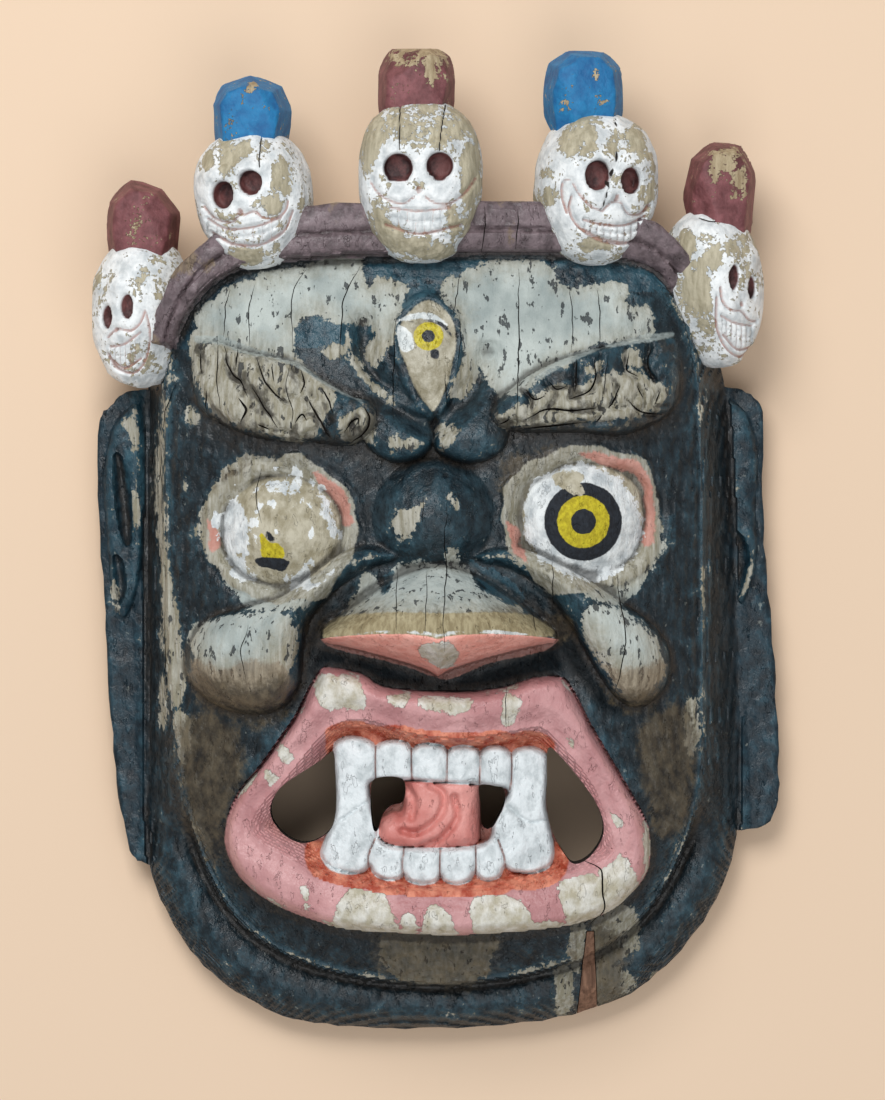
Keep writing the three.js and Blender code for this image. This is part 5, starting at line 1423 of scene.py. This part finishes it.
def buildSkull(number, skull, material):
    f = skullForm
    ball = wrappedBall(f["cells"])
    shape = squared(ball, skull["square"])
    shape[:, 0] *= 1 - skull.get("jaw", f["jawTaper"]) * ease((-shape[:, 1] - 0.05) / 0.8)
    lumps = fractal(ball * 20 + number * 31, 6, 3) - 0.5
    shape *= 1 + f["lumps"] * lumps[:, None]
    place = skull["size"], skull["at"], skull["yaw"], skull["roll"]
    at = placeHead(shape, *place)
    x, y = at[:, 0], at[:, 1]
    pit, nose, lines, cracks = skullCuts(skull, x, y)
    facing = ease((shape[:, 2] - 0.05) / 0.3)
    (browX, browY), (browWide, browTall) = f["browAt"], f["browSize"]
    brow = np.maximum(0, 1 - ((np.abs(shape[:, 0]) - browX) / browWide) ** 2
                      - ((shape[:, 1] - browY) / browTall) ** 2)
    cut = (f["socketDepth"] * pit + f["noseDepth"] * nose + f["lineDepth"] * lines + f["crackDepth"] * cracks
           - f["browRise"] * brow)
    cut = cut * mix(1, f["turnedCut"], ease((abs(skull["yaw"]) - 20) / 25))
    inward = turnOf(skull["yaw"], skull["roll"]) @ np.array([0, 0, -1])
    at = at + (cut * facing)[:, None] * inward
    piece = closedHead(skull["name"], f["cells"], at, place, material)
    cloud = fractal(ball * 20 + number * 17, 7, 3) - 0.5
    flaked = clamp(1.1 * ellipseDepths(skull["bare"], x, y) + 0.45)
    worn = 0.36 + 0.38 * flaked + 0.75 * cloud - 0.5 * ease(1.3 * pit)
    fields = {"socket": pit * facing, "groove": np.maximum(lines, nose) * facing, "crack": cracks * facing,
              "worn": worn}
    for name, values in fields.items():
        carry(piece, name, np.append(values, 0))
    return piece


knobForm = {
    "cells": 56, "squareness": 0.58, "flats": 9, "flatFrom": 0.96, "flatSpread": 0.14, "lumps": 0.03,
    "sunk": 9, "turnShare": 0.4, "flatLean": 0.25,  # sunk: how far the topknot runs into the skull
}


def buildKnob(number, skull, material):
    f = knobForm
    ball = wrappedBall(f["cells"])
    shape = squared(ball, f["squareness"])
    rng = np.random.default_rng(60 + number)
    for _ in range(f["flats"]):
        normal = rng.normal(size=3) * (1, 1, 0.8)
        normal /= np.linalg.norm(normal)
        over = shape @ normal - f["flatFrom"] - f["flatSpread"] * rng.random()
        shape = shape - np.maximum(over, 0)[:, None] * normal
    shape *= 1 + f["lumps"] * (fractal(ball * 20 + number * 5, 7, 2) - 0.5)[:, None]
    wide, tall, deep = skull["knob"]
    centre = np.array(skull["knobAt"]) - (0, f["sunk"] / 2, 0)
    place = (wide, tall + f["sunk"], deep), centre, f["turnShare"] * skull["yaw"], 0
    at = placeHead(shape, *place)
    for start, end in zip(skull["hewn"], skull["hewn"][1:]):
        # a flat struck along this side of the outline, leaning in towards the front
        run = np.array([end[0] - start[0], end[1] - start[1]])
        normal = np.array([-run[1], run[0], f["flatLean"] * np.hypot(*run)])
        normal /= np.linalg.norm(normal)
        foot = np.array([start[0], start[1], at[:, 2].mean()])
        over = (at - foot) @ normal
        at = at - np.maximum(over, 0)[:, None] * normal
    piece = closedHead(skull["name"] + "Topknot", f["cells"], at, place, material)
    cloud = fractal(ball * 20 + number * 13, 8, 3) - 0.5
    bare = clamp(1.6 * ellipseDepths(skull["knobBare"], at[:, 0], at[:, 1]) + 0.4)
    carry(piece, "worn", np.append(0.26 + 0.5 * bare + 0.5 * cloud, 0))
    return piece


# Drying cracks up the grain and the strokes cut in the brows, as (width, points)
cracks = [
    (0.9, [(-88, 107), (-90.5, 97), (-90.5, 87)]), (0.9, [(-93, 85), (-93.5, 72), (-92, 56)]),
    (0.8, [(-78, 109), (-80, 98), (-80, 82)]), (0.8, [(-56, 116), (-61, 107), (-62, 96), (-61, 82)]),
    (0.7, [(-62, 76), (-64, 66), (-61, 55), (-62, 45)]),
    (1.0, [(-33, 117), (-38.5, 106), (-41, 94), (-41.5, 74)]),
    (0.9, [(-17.5, 97), (-18.5, 80), (-19, 64), (-19, 50)]), (0.8, [(9.5, 116), (8, 104), (6.5, 96)]),
    (0.7, [(9.5, 96), (9.5, 85), (8.5, 73)]), (0.8, [(3, 72), (3, 64), (4, 57)]),
    (1.0, [(34.5, 116), (34, 100), (34, 80), (34, 66), (33, 48)]),
    (0.8, [(55.5, 109), (57, 96), (56.5, 80)]), (0.9, [(67.5, 107), (69, 96), (68.5, 82)]),
    (0.8, [(72, 79), (70.5, 70), (69, 60)]), (0.9, [(4, 20), (3, 0), (3.5, -12), (2.5, -30), (3, -46)]),
    (0.6, [(-6, 19), (-6.5, 8)]), (0.7, [(-17, -11), (-17.5, -37)]), (0.7, [(-4.5, -12), (-5, -38)]),
    (0.6, [(40, -30), (41, -38)]), (0.8, [(-75, 31), (-77, 20), (-75, 8)]),
    (0.8, [(-80, -35), (-83, -46), (-81, -58)]), (0.7, [(48.7, -7), (48, -18), (48.5, -30)]),
    (1.0, [(76, -12), (77, -25), (79, -40), (77, -55), (74.5, -64)]),
    (0.7, [(29, -61), (28.5, -70), (29, -79)]),
    (1.5, [(61.6, -135), (68, -138), (69.4, -142), (70, -149), (70.5, -157), (64.5, -163)]),
    (0.9, [(20, 142), (19, 123)]), (0.9, [(34, 141), (33, 124)]), (0.7, [(-118.5, 44), (-118, 10)]),
    (0.8, [(-117, -30), (-116.5, -50), (-116, -66)]), (0.8, [(-111, 68), (-116, 56), (-117.5, 46)]),
]
browStrokes = [
    (1.5, [(-90.4, 83), (-89.2, 76), (-86.6, 70.4), (-82.6, 67), (-80.6, 61)]),
    (2.2, [(-84, 60.6), (-81, 56), (-83.4, 50.6)]), (1.2, [(-85, 81.5), (-84.6, 74)]),
    (1.5, [(-76.4, 77.5), (-74, 69.4), (-69, 62.8), (-65, 59.4)]), (1.1, [(-69.6, 75), (-68.8, 67.6)]),
    (1.3, [(-78, 65), (-73, 56.5), (-67, 48)]), (1.5, [(-58, 72.6), (-55.8, 67), (-58, 62.6)]),
    (1.7, [(-55, 60.6), (-52, 55), (-48.8, 49), (-45.4, 43.8)]),
    (1.5, [(-60, 50), (-57.4, 53.6), (-55, 51)]),
    (1.6, [(-31, 57), (-28.8, 52), (-31, 46), (-36.4, 41.8)]),
    (1.4, [(-39.2, 46), (-36, 50.4), (-33.4, 51.8), (-33, 48.4)]), (1.2, [(-100.8, 80), (-100, 71)]),
    (1.2, [(-98, 64), (-98.4, 55.6)]), (1.4, [(-76, 49.4), (-71, 47.4)]),
    (1.5, [(-49, 64.6), (-46, 60), (-43.6, 54)]), (1.3, [(58, 77), (58.4, 70), (57.6, 63)]),
    (1.5, [(66.4, 78), (66.2, 69), (63.4, 63.2), (55.4, 60)]), (1.5, [(77, 66), (74.6, 60), (72, 56.4)]),
    (1.3, [(69.4, 53.4), (66.4, 50.4)]), (1.6, [(38, 52), (46, 55.8), (57, 55.2), (67, 56.4)]),
    (1.5, [(37, 47.8), (48, 48.8), (61, 50.2)]), (1.3, [(80, 60), (86, 55), (95, 54)]),
    (1.1, [(84.4, 66), (87, 60.6)]), (1.2, [(94, 64), (91.4, 58)]),
    (1.2, [(81, 80), (80, 73), (84.6, 70)]), (1.2, [(90, 82), (88.4, 75), (91, 69)]),
    (1.3, [(25.6, 49.4), (31, 52)]), (1.4, [(37.4, 64), (40.6, 60), (44.6, 61.4)]),
    (1.2, [(46.4, 68), (50, 64.4), (54, 65.4)]),
]
bladeSizes = {"depth": 3.2, "above": 6, "wander": 1.8, "wanderSize": 5, "footShare": 0.25}


def crackBlades(material):
    # thin wavering blades that cut the cracks, all in one mesh
    b = bladeSizes
    points, faces, start = [], [], 0
    for number, (width, line) in enumerate(cracks + browStrokes):
        path = smoothCurve(line, steps=7)
        count = len(path)
        t = np.linspace(0, 1, count)
        wander = fractal(np.column_stack([path, np.full(count, 9.0 * number)]), b["wanderSize"], 2) - 0.5
        half = 0.5 * width * np.sin(math.pi * np.clip(t, 0.03, 0.97)) ** 0.45
        x = path[:, 0] + b["wander"] * wander
        y = path[:, 1]
        run = np.gradient(np.column_stack([x, y]), axis=0)
        run /= np.linalg.norm(run, axis=1)[:, None]
        ground = fromGrid(frontZ, x, y)
        top = ground + b["above"]
        foot = ground - b["depth"] * np.sin(math.pi * np.clip(t, 0.06, 0.94)) ** 0.6
        for side, z in ((1, top), (-1, top), (-1, foot), (1, foot)):
            # the blade narrows towards its foot
            reach = half * side * (1.0 if z is top else b["footShare"])
            points.append(np.column_stack([x - run[:, 1] * reach, y + run[:, 0] * reach, z]))
        ring = [start + k * count for k in range(4)]
        for k in range(count - 1):
            for this, after in zip(ring, ring[1:] + ring[:1]):
                faces.append([this + k, after + k, after + k + 1, this + k + 1])
        faces.append(ring[::-1])
        faces.append([r + count - 1 for r in ring])
        start += 4 * count
    return meshObject("crackBlades", np.vstack(points), faces, material, smooth=False)


def dress(piece, node):
    keepInBox(piece)
    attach(piece, "root")
    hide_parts(node)


def buildSplint(whole):
    # the splint is the mask's own surface, lowered a little and cut to a wedge
    slip = whole.copy()
    slip.data = whole.data.copy()
    slip.name = "repairSplint"
    bpy.context.scene.collection.objects.link(slip)
    slip.data.transform(((1, 0, 0, 0), (0, 1, 0, 0), (0, 0, 1, -splint["step"] * mm), (0, 0, 0, 1)))
    bare = plainWood("split brown softwood")
    combine(slip, splintWedge("slipCut", splint["gap"], bare), "INTERSECT")
    slip.data.materials.clear()
    slip.data.materials.append(bare)
    slip.data.polygons.foreach_set("material_index", [0] * len(slip.data.polygons))
    return slip


def buildAll():
    painted, raw, dark = paintedFace(), plainWood("adzed raw softwood"), plainWood("dark split in softwood")
    whole = buildMask(painted, raw, dark)
    slip = buildSplint(whole)
    combine(whole, splintWedge("splitCut", 0, dark), "DIFFERENCE")
    before = len(whole.data.polygons)
    combine(whole, crackBlades(dark), "DIFFERENCE")
    print("cracks and strokes:", len(cracks + browStrokes), "cut, faces", before, "to",
          len(whole.data.polygons))
    thinned(whole, blockSizes["triangles"])
    thinned(slip, blockSizes["splintTriangles"])
    fields = paintFields()
    for piece in (whole, slip):
        paintFront(piece, fields)
    dress(whole, "mask")
    dress(slip, "repair_splint")
    whole.data.set_sharp_from_angle(angle=math.radians(55))
    print("mask:", len(whole.data.polygons), "faces after thinning")
    chalk = chalkSkull()
    paints = {name: knobColour(name) for name in ("blue", "maroon")}
    for number, skull in enumerate(skulls):
        dress(buildSkull(number, skull, chalk), "mask")
        dress(buildKnob(number, skull, paints[skull["paint"]]), "mask")
    print("skulls and topknots:", len(skulls))


buildAll()


# The setting: a pale warm board under the mask, soft daylight from the crown side
setting = {
    "floor": "#e6ccb1", "floorReach": 3000, "roughness": 0.9, "ior": 1.45, "world": "#eef1f5",
    "worldStrength": 0.42, "lens": 151.3, "sensor": 24.0,
    "cameraAt": (1.95, -3.46, 3000.0), "keyAt": (-350, 900, 1500), "keySize": 900, "keyWatts": 21,
    "fillAt": (300, -900, 1900), "fillSize": 1500, "fillWatts": 12,
}


def buildSetting():
    board, add = newMaterial("matt backdrop paper")
    addSurface(add, colour(setting["floor"]), setting["roughness"], setting["ior"])
    r = setting["floorReach"]
    floor = meshObject("floor", [(-r, -r, 0), (r, -r, 0), (r, r, 0), (-r, r, 0)], [[0, 1, 2, 3]], board,
                       smooth=False)
    for name in ("key", "fill"):
        light = bpy.data.lights.new(name, "AREA")
        light.size = setting[name + "Size"] * mm
        light.energy = setting[name + "Watts"]
        lamp = bpy.data.objects.new(name, light)
        bpy.context.scene.collection.objects.link(lamp)
        lamp.location = [v * mm for v in setting[name + "At"]]
        lamp.rotation_euler = (-lamp.location).to_track_quat("-Z", "Y").to_euler()
    world = bpy.data.worlds.new("daylight")
    world.use_nodes = True
    sky = world.node_tree.nodes["Background"]
    sky.inputs["Color"].default_value = colour(setting["world"])
    sky.inputs["Strength"].default_value = setting["worldStrength"]
    bpy.context.scene.world = world
    bpy.context.scene.view_settings.view_transform = "Standard"
    camera = bpy.data.cameras.new("camera")
    camera.lens = setting["lens"]
    camera.sensor_fit = "VERTICAL"
    camera.sensor_height = setting["sensor"]
    seen = bpy.data.objects.new("camera", camera)
    seen.location = [v * mm for v in setting["cameraAt"]]
    bpy.context.scene.collection.objects.link(seen)
    bpy.context.scene.camera = seen


buildSetting()
